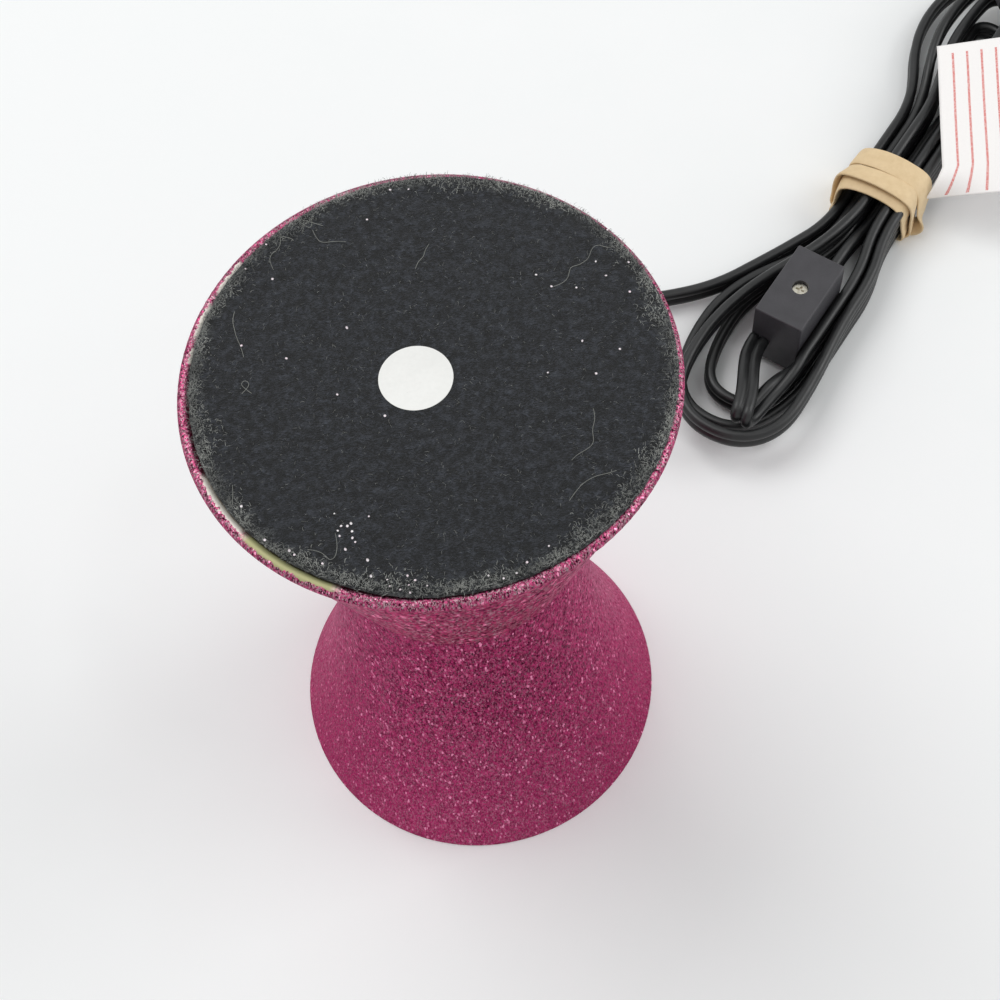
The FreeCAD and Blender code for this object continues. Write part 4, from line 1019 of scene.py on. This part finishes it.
    def wide_directions(self, path: np.ndarray, upright_from: int, flat_for: float) -> np.ndarray:
        """The lead stands on its edge in the hank, and keeps from twisting along the free stretch.

        Where it starts flat, as it leaves the switch and folds back under itself, its wide side lies across
        the hank. Past flat_hold it turns a quarter about its own line, by a smooth step of its length: three
        times the square of the share less twice its cube.

        Args:
            path: Points of the lead's line.
            upright_from: First point of the hank. Before it the direction is carried back, ring by ring.
            flat_for: Length over which it turns from flat to upright, or nought.

        Returns:
            One direction a point.
        """
        along = unit(np.gradient(path, axis=0))
        wide = np.tile(UP, (len(path), 1))
        if flat_for:
            part = np.clip((np.arange(len(path)) * self.step - self.flat_hold) / flat_for, 0.0, 1.0)
            turn = (1.0 - part ** 2 * (3.0 - 2.0 * part))[:, None] * math.pi / 2
            wide = wide * np.cos(turn) + HANK_V * np.sin(turn)
        wide = square_to(wide, along)
        for index in range(upright_from - 1, -1, -1):
            wide[index] = square_to(wide[index + 1], along[index])
        return wide

    def lead(
        self, name: str, route: np.ndarray, join: Optional[np.ndarray] = None, flat_for: float = 0.0
    ) -> tuple[Piece, np.ndarray]:
        """Build one length of lead along a smooth spline.

        Args:
            name: The piece's name.
            route: The spline's control points.
            join: Where the hank starts, or None if all of it lies in the hank.
            flat_for: Length over which it turns from flat to upright, or nought.

        Returns:
            The piece and its line in millimetres.
        """
        path = even_steps(smooth_line(route), self.step)
        start = 0 if join is None else int(np.argmin(np.linalg.norm(path - join, axis=1)))
        wide = self.wide_directions(path, start, flat_for)
        return capped_tube(name, sweep_points(path, self.section(), wide)), path

    def build(self, nodes: Mapping[str, Piece]) -> None:
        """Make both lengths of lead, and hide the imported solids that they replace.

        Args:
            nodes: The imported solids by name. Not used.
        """
        free = np.array(self.stretch)
        first = self.lead("twin_lead_from_lamp", np.concatenate([free, on_hank(self.loops)]), free[-1])
        second = self.lead("twin_lead_to_plug", on_hank(self.to_plug), flat_for=self.flat_turn)
        for (piece, line), replaced, end, carried in (
            (first, ("lead_to_hank", "hank_from_lamp"), "fitting",
             ("switch_upper_case", "switch_lower_case", "case_screw", "switch_rocker", "rocker_pin")),
            (second, ("hank_to_plug",), "plug", ("plug_body", "plug_wide_blade", "plug_narrow_blade")),
        ):
            seat(piece, Surface.VINYL, "cord_vinyl", *replaced)


@dataclass
class RubberBand:
    """The band, wound three times round the hank's waist, each winding partly over the next.

    Each bend gives its place along the hank, across it and up, the strip's roll in degrees and its width
    as a share of the full one.
    """

    middle: float = 8.0
    strip: float = 7.3
    thickness: float = 0.95
    steps: int = 20
    sides: int = 24
    flatness: tuple[float, float] = (0.45, 0.6)
    lowest: float = 0.08
    bends: tuple[tuple[float, float, float, float, float], ...] = (
        (2.6, -11.1, 7.0, 0, 0.9), (1.8, -10.9, 13.6, 4, 0.95), (1.3, -4.5, 16.0, 0, 1.0),
        (1.5, 4.5, 16.1, -3, 1.0), (2.4, 10.9, 14.2, -6, 1.0), (4.6, 12.7, 7.5, 4, 0.95),
        (7.4, 12.6, 2.4, 42, 0.8), (9.0, 0.0, 0.7, 0, 0.9), (10.0, -10.6, 1.8, 10, 0.9),
        (9.1, -12.0, 7.0, 20, 0.9), (8.3, -11.4, 14.0, 18, 0.85), (8.3, -4.5, 16.5, 10, 0.85),
        (8.4, 4.5, 16.7, 6, 0.88), (8.6, 10.6, 14.5, 10, 0.92), (8.4, 11.6, 7.5, 16, 0.9),
        (9.4, 11.1, 2.0, 14, 0.85), (11.0, 0.0, 0.8, 0, 0.9), (12.6, -10.4, 1.8, 0, 0.95),
        (12.8, -10.9, 7.0, -8, 1.0), (11.3, -10.3, 13.2, -10, 0.95), (10.8, -4.0, 15.1, -8, 0.85),
        (11.2, 4.0, 15.2, -12, 0.75), (12.2, 9.8, 13.8, -14, 0.7), (11.6, 10.7, 7.5, 6, 0.75),
        (10.8, 10.6, 2.0, 10, 0.85), (7.0, 0.0, 0.9, 0, 0.9), (3.8, -10.6, 1.8, 0, 0.9),
    )

    def line(self) -> np.ndarray:
        """A closed smooth line through the bends, by a cubic of each bend and its neighbours.

        Returns:
            Rows of place along, across, up, roll and width.
        """
        knots = np.array(self.bends)
        before, here, after, last = (np.roll(knots, -k, 0)[:, None] for k in (-1, 0, 1, 2))
        t = (np.arange(self.steps) / self.steps)[None, :, None]
        curve = 2 * here + (after - before) * t + (2 * before - 5 * here + 4 * after - last) * t ** 2
        curve = curve + (3 * here - before - 3 * after + last) * t ** 3
        return (0.5 * curve).reshape(-1, knots.shape[1])

    def build(self) -> Piece:
        """Sweep a flat strip with round edges along the line, and keep it above the table.

        Its section is a squared ellipse: the cosine and the sine of the corner's angle, each raised to its
        share of the flatness with its sign kept.

        Returns:
            The piece.
        """
        line = self.line()
        path, roll, breadth = line[:, :3], np.radians(line[:, 3:4]), line[:, 4]
        along = unit(np.roll(path, -1, 0) - np.roll(path, 1, 0))
        outward = unit(path * np.array([0.0, 1.0, 1.0]) - np.array([0.0, 0.0, self.middle]))
        wide = square_to(np.cos(roll) * np.array([1.0, 0.0, 0.0]) + np.sin(roll) * outward, along)
        thin = np.cross(along, wide)
        corner = np.linspace(0.0, 2.0 * math.pi, self.sides, endpoint=False)
        first, second = (
            np.sign(wave) * np.abs(wave) ** power * size / 2
            for wave, power, size in zip(
                (np.cos(corner), np.sin(corner)), self.flatness, (self.strip, self.thickness)))
        rings = path[:, None] + first[None, :, None] * wide[:, None] * breadth[:, None, None]
        rings = rings + second[None, :, None] * thin[:, None]
        points = on_hank(rings.reshape(-1, 3))
        points[:, 2] = np.maximum(points[:, 2], self.lowest)
        piece = make_mesh("twisted_rubber_band", points, grid_faces(len(path), self.sides, True, True))
        face_outwards(piece)
        return seat(piece, Surface.BAND, "band_rubber", "rubber_band")


@dataclass
class CordTag:
    """The paper tag. Its left side is low, its right side rises, and its lower left corner is bent down."""

    corner: tuple[float, float, float] = (-43.8, -9.1, 19.2)
    turn: float = 29.3
    slope: float = 2.9
    tilt: float = 14.0
    length: float = 55.5
    width: float = 32.0
    bend_start: float = 45.0
    bend_reach: float = 9.0
    bend_radius: float = 6.5
    bend_aside: float = 0.4
    thickness: float = 0.22
    bow: float = 0.35
    ripple: float = 0.2
    ripple_turn: float = 0.16
    ripple_skew: float = 2.0
    rows: int = 90
    columns: int = 40

    def build(self) -> Piece:
        """Lay a sheet out by its turn, slope and tilt, and bend its corner.

        Past the bend's start the left side follows a circle: it goes on by the radius times the sine of the
        angle, falls by the radius times one less the cosine and leans to the left. All this fades across
        the sheet by a bell curve. The sheet bows by half a sine along its left side, and ripples by another.

        Returns:
            The piece.
        """
        rows, columns = self.rows, self.columns
        run, across = np.meshgrid(
            np.linspace(0.0, self.length, rows), np.linspace(0.0, self.width, columns), indexing="ij")
        share = across / self.width
        fade = np.exp(-(across / self.bend_reach) ** 2)
        past = np.maximum(run - self.bend_start, 0.0)
        angle = past / self.bend_radius
        along = run - fade * (past - self.bend_radius * np.sin(angle))
        fall = fade * self.bend_radius * (1.0 - np.cos(angle))
        wave = self.bow * np.sin(run / self.length * math.pi) * (1.0 - share)
        wave = wave + self.ripple * np.sin(run * self.ripple_turn + self.ripple_skew * share)
        turn, slope, tilt = (math.radians(a) for a in (self.turn, self.slope, self.tilt))
        aside = across * math.cos(tilt) - self.bend_aside * past * fade
        high = across * math.sin(tilt) - fall + wave
        ahead = along * math.cos(slope) + high * math.sin(slope)
        u = self.corner[0] + ahead * math.cos(turn) - aside * math.sin(turn)
        v = self.corner[1] + ahead * math.sin(turn) + aside * math.cos(turn)
        z = self.corner[2] - along * math.sin(slope) + high * math.cos(slope)
        top = np.stack([u, v, z], -1)
        normal = unit(np.cross(np.gradient(top, axis=0), np.gradient(top, axis=1)))
        bottom = top - self.thickness * normal
        points = np.concatenate([on_hank(top.reshape(-1, 3)), on_hank(bottom.reshape(-1, 3))])
        upper = grid_faces(rows, columns)
        size = rows * columns
        rim = np.concatenate([
            np.arange(columns), np.arange(1, rows) * columns + columns - 1,
            (rows - 1) * columns + np.arange(columns - 2, -1, -1), np.arange(rows - 2, 0, -1) * columns])
        after = np.roll(rim, -1)
        sides = np.stack([rim, after, after + size, rim + size], 1)
        faces = np.concatenate([upper, upper[:, ::-1] + size, sides[:, ::-1]])
        mapped = np.stack([run.ravel(), across.ravel()], 1) / TAG_TILE
        uv = np.concatenate([mapped, mapped])[faces.ravel()]
        piece = make_mesh("paper_tag", points, faces, uv)
        face_outwards(piece)
        return seat(piece, Surface.TAG, "tag_paper", "cord_tag")


@dataclass
class LeadBoot:
    """The moulded boot at the foot's wall, with bending grooves round its tail."""

    place: tuple[float, float, float] = (-3.344, 38.226, 124.0)
    axis: tuple[float, float, float] = (-0.08336, 0.95284, -0.29178)
    columns: int = 48
    collar: tuple[tuple[float, float], ...] = (
        (-3.9, 3.7), (-3.7, 3.95), (-1.9, 5.9), (-1.7, 5.9), (-1.7, 4.8), (0.3, 4.8), (0.3, 6.6), (0.5, 6.95),
        (1.6, 6.95), (2.1, 6.6), (2.3, 6.0),
    )
    tail: tuple[float, float] = (2.3, 22.0)
    tail_radii: tuple[float, float] = (5.4, 3.9)
    tail_ends: float = 0.2
    tip_radius: float = 3.7
    tail_rows: int = 120
    grooves: tuple[float, float] = (3.6, 19.5)
    groove_first: float = 5.0
    groove_pitch: float = 3.1
    groove_depth: float = 0.75

    def build(self) -> Piece:
        """Turn a profile of (distance out, radius) about the boot's axis.

        The tail's radius falls evenly from end to end, less rounded grooves. A groove's depth is the square
        of a cosine, and only the cosine's upper half counts.

        Returns:
            The piece.
        """
        start, end = self.tail
        thick, slim = self.tail_radii
        out = np.linspace(start + self.tail_ends, end - self.tail_ends, self.tail_rows)
        radius = thick + (slim - thick) * (out - start) / (end - start)
        wave = np.cos((out - self.groove_first) / self.groove_pitch * 2 * math.pi)
        grooved = (out > self.grooves[0]) & (out < self.grooves[1])
        radius = radius - np.where(grooved, self.groove_depth * np.clip(wave, 0.0, 1.0) ** 2, 0.0)
        profile = np.concatenate([self.collar, np.stack([out, radius], 1), [(end, self.tip_radius)]])
        axis = unit(np.array(self.axis))
        first = unit(np.cross(axis, UP))
        second = np.cross(axis, first)
        turn = np.linspace(0.0, 2 * math.pi, self.columns, endpoint=False)[:, None]
        spoke = np.cos(turn) * first + np.sin(turn) * second
        rings = np.array(self.place) + profile[:, None, :1] * axis + profile[:, None, 1:] * spoke
        return seat(capped_tube("lead_boot", rings), Surface.BOOT, "boot_rubber", "strain_relief")


# The felt foot


@dataclass(frozen=True)
class Fluff:
    """How many fibres stand in one part of the felt, and how long, high and thick they may be."""

    count: int
    length: tuple[float, float]
    rise: tuple[float, float]
    radius: tuple[float, float]


@dataclass
class FeltFoot:
    """The felt disc, with its ragged pale edge, standing fibres, stray hairs and loose glitter."""

    middle_x: float = 0.7
    radius: float = 45.7
    bottom: float = 152.7
    thickness: float = 1.2
    sticker: tuple[float, float, float] = (-2.48, -1.01, 8.3)
    seed: int = 7
    pad_spokes: int = 360
    face_radius: float = 44.0
    face_rings: int = 44
    hub_radius: float = 0.5
    sunk: float = 0.05
    ripple_turn: float = 0.9
    ripple_swing: float = 2.0
    waves: tuple[int, ...] = (3, 7, 16, 31, 53)
    wave_sizes: tuple[float, float] = (0.02, 0.06)
    wave_rise: int = 6
    edge_inset: tuple[float, ...] = (1.3, 0.9, 0.55, 0.25, 0.06, 0.0, 0.0, 0.1)
    edge_fall: tuple[float, ...] = (0.03, 0.09, 0.2, 0.38, 0.62, 0.8, 1.1, 1.2)
    rim: Fluff = Fluff(6600, (0.25, 1.0), (0.05, 0.35), (0.02, 0.06))
    face: Fluff = Fluff(1500, (0.3, 1.0), (0.02, 0.18), (0.012, 0.026))
    fibre_inset: float = 0.15
    fibre_spread: float = 1.6
    fibre_curl: float = 0.9
    fibre_taper: tuple[float, ...] = (1.0, 1.0, 0.8, 0.35)
    fibre_overhang: float = 0.9
    fibre_sunk: float = 0.1
    fibre_arch: tuple[float, float] = (0.8, 2.2)
    face_area: float = 0.96
    clump_waves: tuple[int, int] = (5, 11)
    clump_phase: float = 1.0
    clump_least: float = 0.35
    edge_width: float = 1.3
    edge_drop: float = 0.35
    hair_radius: float = 0.045
    hair_lift: float = 0.12
    hair_points: int = 22
    hair_resolution: int = 6
    hair_wave: float = 1.7
    flake_sides: int = 6
    flake_sizes: tuple[float, float] = (0.18, 0.27)
    flake_tilt: float = 0.25
    flake_lift: float = 0.14
    flake_thickness: float = 0.07
    hairs: tuple[tuple[tuple[float, float], ...], ...] = (
        ((-24.1, 37.6), (-24.0, 34.7), (-24.9, 33.1), (-26.4, 32.2), (-26.8, 30.5), (-26.2, 28.4)),
        ((-23.9, 35.9), (-22.3, 35.6), (-21.6, 34.7)),
        ((-17.7, 36.3), (-17.1, 33.7), (-15.8, 32.9), (-13.5, 32.8), (-11.6, 32.2)),
        ((-20.3, 39.3), (-18.6, 36.9), (-17.5, 37.5), (-17.6, 39.5)),
        ((-20.1, 39.6), (-17.8, 38.4), (-15.6, 36.9)),
        ((4.2, 28.6), (3.2, 27.2), (2.8, 25.7), (1.4, 24.8), (0.8, 23.3)),
        ((-34.5, 20.3), (-35.1, 18.5), (-34.9, 16.2), (-34.6, 14.0), (-33.9, 11.6), (-33.7, 9.6)),
        ((-33.0, 1.4), (-34.4, 3.0), (-34.8, 4.0), (-34.0, 4.6), (-33.2, 3.8), (-33.5, 2.8), (-34.8, 1.8)),
        ((-26.2, -32.6), (-24.2, -33.2), (-23.1, -34.5), (-22.5, -35.5), (-21.4, -34.9), (-20.8, -32.3),
         (-21.0, -30.3)),
        ((-38.2, -17.2), (-38.3, -19.6), (-38.7, -21.6)),
        ((39.1, 20.8), (37.5, 20.9), (36.4, 21.9), (34.9, 21.5), (34.0, 19.5), (33.2, 18.7), (31.5, 17.8),
         (30.0, 17.9), (29.5, 16.4), (28.9, 15.1), (27.5, 14.2), (26.0, 14.0)),
        ((28.5, -13.7), (28.6, -15.8), (27.4, -18.2), (27.4, -20.9), (25.7, -22.0), (23.7, -22.8),
         (22.7, -23.7)),
        ((30.2, -27.2), (28.6, -27.6), (26.4, -27.6), (23.9, -28.5), (22.1, -30.2), (20.8, -31.7)),
    )
    specks: tuple[tuple[float, float], ...] = (
        (-1.5, 43.0), (2.1, 42.4), (-6.9, 36.7), (-26.6, 26.3), (-13.8, 12.4), (-33.9, 12.3), (-25.8, 7.8),
        (-9.2, -8.1), (-31.5, 29.7), (-27.0, 34.7), (-17.3, -1.9), (-20.7, -26.4), (-14.7, -28.1),
        (-19.8, -29.1), (-18.7, -29.3), (-18.0, -28.9), (-20.5, -29.9), (-18.0, -30.5), (-20.3, -31.0),
        (-18.1, -31.8), (-17.7, -32.7), (-19.6, -33.8), (-16.0, -36.6), (-37.0, -21.8), (-33.5, -29.3),
        (-29.4, -32.2), (-28.6, -33.2), (-23.9, -35.8), (-15.8, -39.8), (-13.1, -41.0), (-12.8, -42.3),
        (-11.1, -43.3), (-9.5, -40.9), (-8.3, -42.0), (-9.5, -42.7), (-9.5, -44.2), (-6.4, -43.4),
        (11.4, -42.2), (15.7, -39.8), (4.4, -43.5), (6.9, -44.5), (9.3, -43.9), (23.3, 17.3),
        (35.0, 18.1), (36.3, 14.5), (40.0, 10.0), (30.3, 12.9), (38.6, 25.0), (41.1, 16.7), (35.7, -2.2),
        (29.2, 0.9), (21.7, -4.7), (30.4, -6.6), (25.7, 14.1),
    )

    @property
    def top(self) -> float:
        """Height of the felt's face."""
        return self.bottom + self.thickness

    def pad(self) -> Piece:
        """The felt disc as a closed shell.

        Each spoke runs out over the top, round the edge and back under. The edge's radius wavers by a
        fifth of a millimetre in a sum of seeded sines, which dies away inwards by a power of the radius. The
        face falls away over its last millimetre. It ripples by a sine of the radius, whose phase swings with
        a sine of the angle, and stays below the felt's height.

        Returns:
            The piece.
        """
        rng = np.random.default_rng(self.seed)
        turn = np.linspace(0.0, 2 * math.pi, self.pad_spokes, endpoint=False)
        waver = sum(
            rng.uniform(*self.wave_sizes) * np.sin(k * turn + rng.uniform(0, 2 * math.pi))
            for k in self.waves)
        face = np.linspace(self.hub_radius, self.face_radius, self.face_rings)
        out = np.concatenate([face, self.radius - np.array(self.edge_inset)])[:, None]
        fall = np.concatenate([np.zeros(len(face)), self.edge_fall])[:, None]
        radius = out * (1.0 + waver / self.radius * (out / self.radius) ** self.wave_rise)
        phase = out * self.ripple_turn + self.ripple_swing * np.sin(2 * turn)
        ripple = self.sunk * np.sin(phase) * (fall == 0)
        z = self.top - fall + ripple - self.sunk
        x, y = self.middle_x + radius * np.cos(turn), radius * np.sin(turn)
        rings = np.stack([x, y, np.broadcast_to(z, radius.shape)], -1)
        piece = seat(capped_tube("felt_disc", rings), Surface.FELT, "felt", "felt_pad")
        return piece

    def fibres(self) -> Piece:
        """Thousands of short fibres that stand out of the felt, mostly along its edge.

        Each is a tube of three sides and four rings. Its middle line starts in the felt, leans a random way
        and curls: point k lies at k thirds of its length along a direction that turns by a random angle. It
        arches up by a sine. At the rim they clump by the product of two sines of the angle, and hang lower
        over the edge. A line that would reach past the foot's roll is drawn in, and none lies on the sticker.

        Returns:
            The piece.
        """
        rng = np.random.default_rng(self.seed + 1)
        kinds = (self.rim, self.face)
        angle = rng.uniform(0, 2 * math.pi, self.rim.count + self.face.count)
        at_rim = angle[:self.rim.count]
        slow, fast = self.clump_waves
        clumps = 0.5 + 0.5 * np.sin(slow * at_rim + self.clump_phase) * np.sin(fast * at_rim)
        inset = np.abs(rng.normal(0.0, self.fibre_spread, self.rim.count)) * (self.clump_least + clumps)
        spread = self.radius * np.sqrt(rng.uniform(0, self.face_area, self.face.count))
        out = np.concatenate([self.radius - self.fibre_inset - inset, spread])
        lean = rng.uniform(0, 2 * math.pi, len(angle))
        size = np.concatenate([rng.uniform(*kind.length, kind.count) for kind in kinds])
        rise = np.concatenate([rng.uniform(*kind.rise, kind.count) for kind in kinds])
        curl = rng.normal(0.0, self.fibre_curl, len(angle))
        thick = np.concatenate([rng.uniform(*kind.radius, kind.count) for kind in kinds])
        steps = np.linspace(0.0, 1.0, len(self.fibre_taper))
        bearing = lean[:, None] + curl[:, None] * steps
        stride = size[:, None] / (len(steps) - 1)
        x = np.cumsum(np.cos(bearing) * stride, 1) + (out * np.cos(angle))[:, None]
        y = np.cumsum(np.sin(bearing) * stride, 1) + (out * np.sin(angle))[:, None]
        edge = np.clip((out - self.radius + self.edge_width) / self.edge_width, 0.0, 1.0) ** 2
        turn, height = self.fibre_arch
        arch = rise[:, None] * np.sin(steps * math.pi * turn) * height
        z = self.top - self.fibre_sunk - self.edge_drop * edge[:, None] + arch
        pull = np.minimum(1.0, (self.radius + self.fibre_overhang) / np.hypot(x, y))
        line = np.stack([self.middle_x + x * pull, y * pull, z], -1)
        near = np.hypot(line[..., 0] - self.sticker[0], line[..., 1] - self.sticker[1]).min(1)
        bare = near > self.sticker[2]
        line, thick = line[bare], thick[bare]
        girth = (thick[:, None] * np.array(self.fibre_taper))[:, :, None, None]
        return self.tubes(
            "felt_fibres", line[:, :, None] + spokes(line, (90.0, 210.0, 330.0)) * girth, Surface.FIBRE)

    def tubes(self, name: str, rings: np.ndarray, surface: Surface) -> Piece:
        """Many small closed tubes as one piece.

        Args:
            name: The piece's name.
            rings: An array of (tube, ring, corner, xyz).
            surface: The piece's finish.

        Returns:
            The piece.
        """
        count, steps, sides = rings.shape[:3]
        quads = grid_faces(steps, sides, closed_columns=True)
        triangles = np.concatenate([quads[:, [0, 1, 2]], quads[:, [0, 2, 3]]])
        ring = np.arange(1, sides - 1)
        first = np.stack([np.zeros_like(ring), ring + 1, ring], 1)
        last = np.stack([np.zeros_like(ring), ring, ring + 1], 1) + (steps - 1) * sides
        one = np.concatenate([triangles[:, ::-1], first, last])
        faces = (np.arange(count)[:, None, None] * steps * sides + one[None]).reshape(-1, 3)
        piece = make_mesh(name, rings.reshape(-1, 3), faces)
        face_outwards(piece)
        return seat(piece, surface, "felt")

    def stray_hairs(self) -> Piece:
        """The longer curled hairs, each a thin tube along a smooth spline that waves up and down by a sine.

        Returns:
            The piece.
        """
        lines = []
        for index, bends in enumerate(self.hairs):
            wave = np.sin(np.arange(len(bends)) * self.hair_wave + index)
            height = self.top + self.hair_lift * (1.0 + wave)
            points = smooth_line(np.column_stack([np.array(bends), height]), self.hair_resolution)
            run, at = (np.linspace(0.0, 1.0, count) for count in (len(points), self.hair_points))
            lines.append(np.stack([np.interp(at, run, points[:, axis]) for axis in range(3)], 1))
        path = np.array(lines)
        rings = path[:, :, None] + self.hair_radius * spokes(path, (45.0, 135.0, 225.0, 315.0))
        return self.tubes("stray_hairs", rings, Surface.HAIR)

    def loose_glitter(self) -> Piece:
        """Loose flakes on the felt: thin six-sided chips, each at its own tilt.

        Returns:
            The piece.
        """
        rng = np.random.default_rng(self.seed + 2)
        spots = np.array(self.specks)
        corner = np.linspace(0.0, 2 * math.pi, self.flake_sides, endpoint=False)
        size = rng.uniform(*self.flake_sizes, len(spots))[:, None]
        tilt = rng.normal(0.0, self.flake_tilt, (len(spots), 2))
        x, y = np.cos(corner) * size, np.sin(corner) * size
        z = x * tilt[:, :1] + y * tilt[:, 1:]
        ring = np.stack([x + spots[:, :1], y + spots[:, 1:], z + self.top + self.flake_lift], -1)
        rings = np.stack([ring, ring + self.flake_thickness * UP], 1)
        return self.tubes("loose_glitter", rings, Surface.SPECK)

    def build(self) -> None:
        """Make the disc, its fibres, the stray hairs and the loose flakes."""
        for piece in (self.pad(), self.fibres(), self.stray_hairs(), self.loose_glitter()):
            LOG.info("%s: %d faces", piece.name, len(piece.data.polygons))


@dataclass
class CarriedNodes:
    """The solids that stay as they were packed, each with its own finish."""

    finishes: dict[str, Surface] = field(default_factory=lambda: {
        "cup_shell": Surface.GLITTER_CUP, "foot_shell": Surface.GLITTER_FOOT,
        "inspection_sticker": Surface.STICKER, "bottom_board": Surface.FIBREBOARD,
        "threaded_tube": Surface.ZINC, "tube_nut": Surface.ZINC, "lock_washers": Surface.ZINC,
        "tube_bushing": Surface.SLEEVE, "holder_bracket": Surface.ZINC, "bracket_screws": Surface.ZINC,
        "holder_body": Surface.PHENOLIC, "holder_thread": Surface.BRASS, "holder_contact": Surface.BRASS,
        "live_wire": Surface.BOOT, "neutral_wire": Surface.BOOT, "inner_lead": Surface.BOOT,
        "bulb_glass": Surface.GLASS, "bulb_stem": Surface.GLASS, "bulb_filament": Surface.TUNGSTEN,
        "bulb_cap": Surface.CAP, "bulb_insulator": Surface.BLACK_GLASS, "bulb_tip": Surface.CAP,
        "switch_upper_case": Surface.CASE, "switch_lower_case": Surface.CASE, "case_screw": Surface.SCREW,
        "switch_rocker": Surface.CASE, "rocker_pin": Surface.ZINC, "rocker_bridge": Surface.BRASS,
        "switch_contacts": Surface.BRASS, "switch_through_wire": Surface.BRASS,
        "plug_body": Surface.CASE, "plug_wide_blade": Surface.BRASS, "plug_narrow_blade": Surface.BRASS,
    })

    def build(self, nodes: Mapping[str, Piece]) -> None:
        """Dress each carried node.

        Args:
            nodes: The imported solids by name.
        """
        for name, surface in self.finishes.items():
            dress(nodes[name], surface)
            LOG.info("%s: %s", name, surface.value.name)


def corners(box: Any) -> list[list[float]]:
    """The two corners of a box as plain lists."""
    return [[float(c) for c in corner] for corner in box]


def main() -> None:
    """Load the frame and build each sub-assembly in order."""
    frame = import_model()
    Studio().build()
    nodes = frame["nodes"]
    TwinLead().build(nodes)
    LeadBoot().build()
    RubberBand().build()
    CordTag().build()
    FeltFoot().build()
    CarriedNodes().build(nodes)


if __name__ == "__main__":
    logging.basicConfig(level=logging.INFO)
    main()
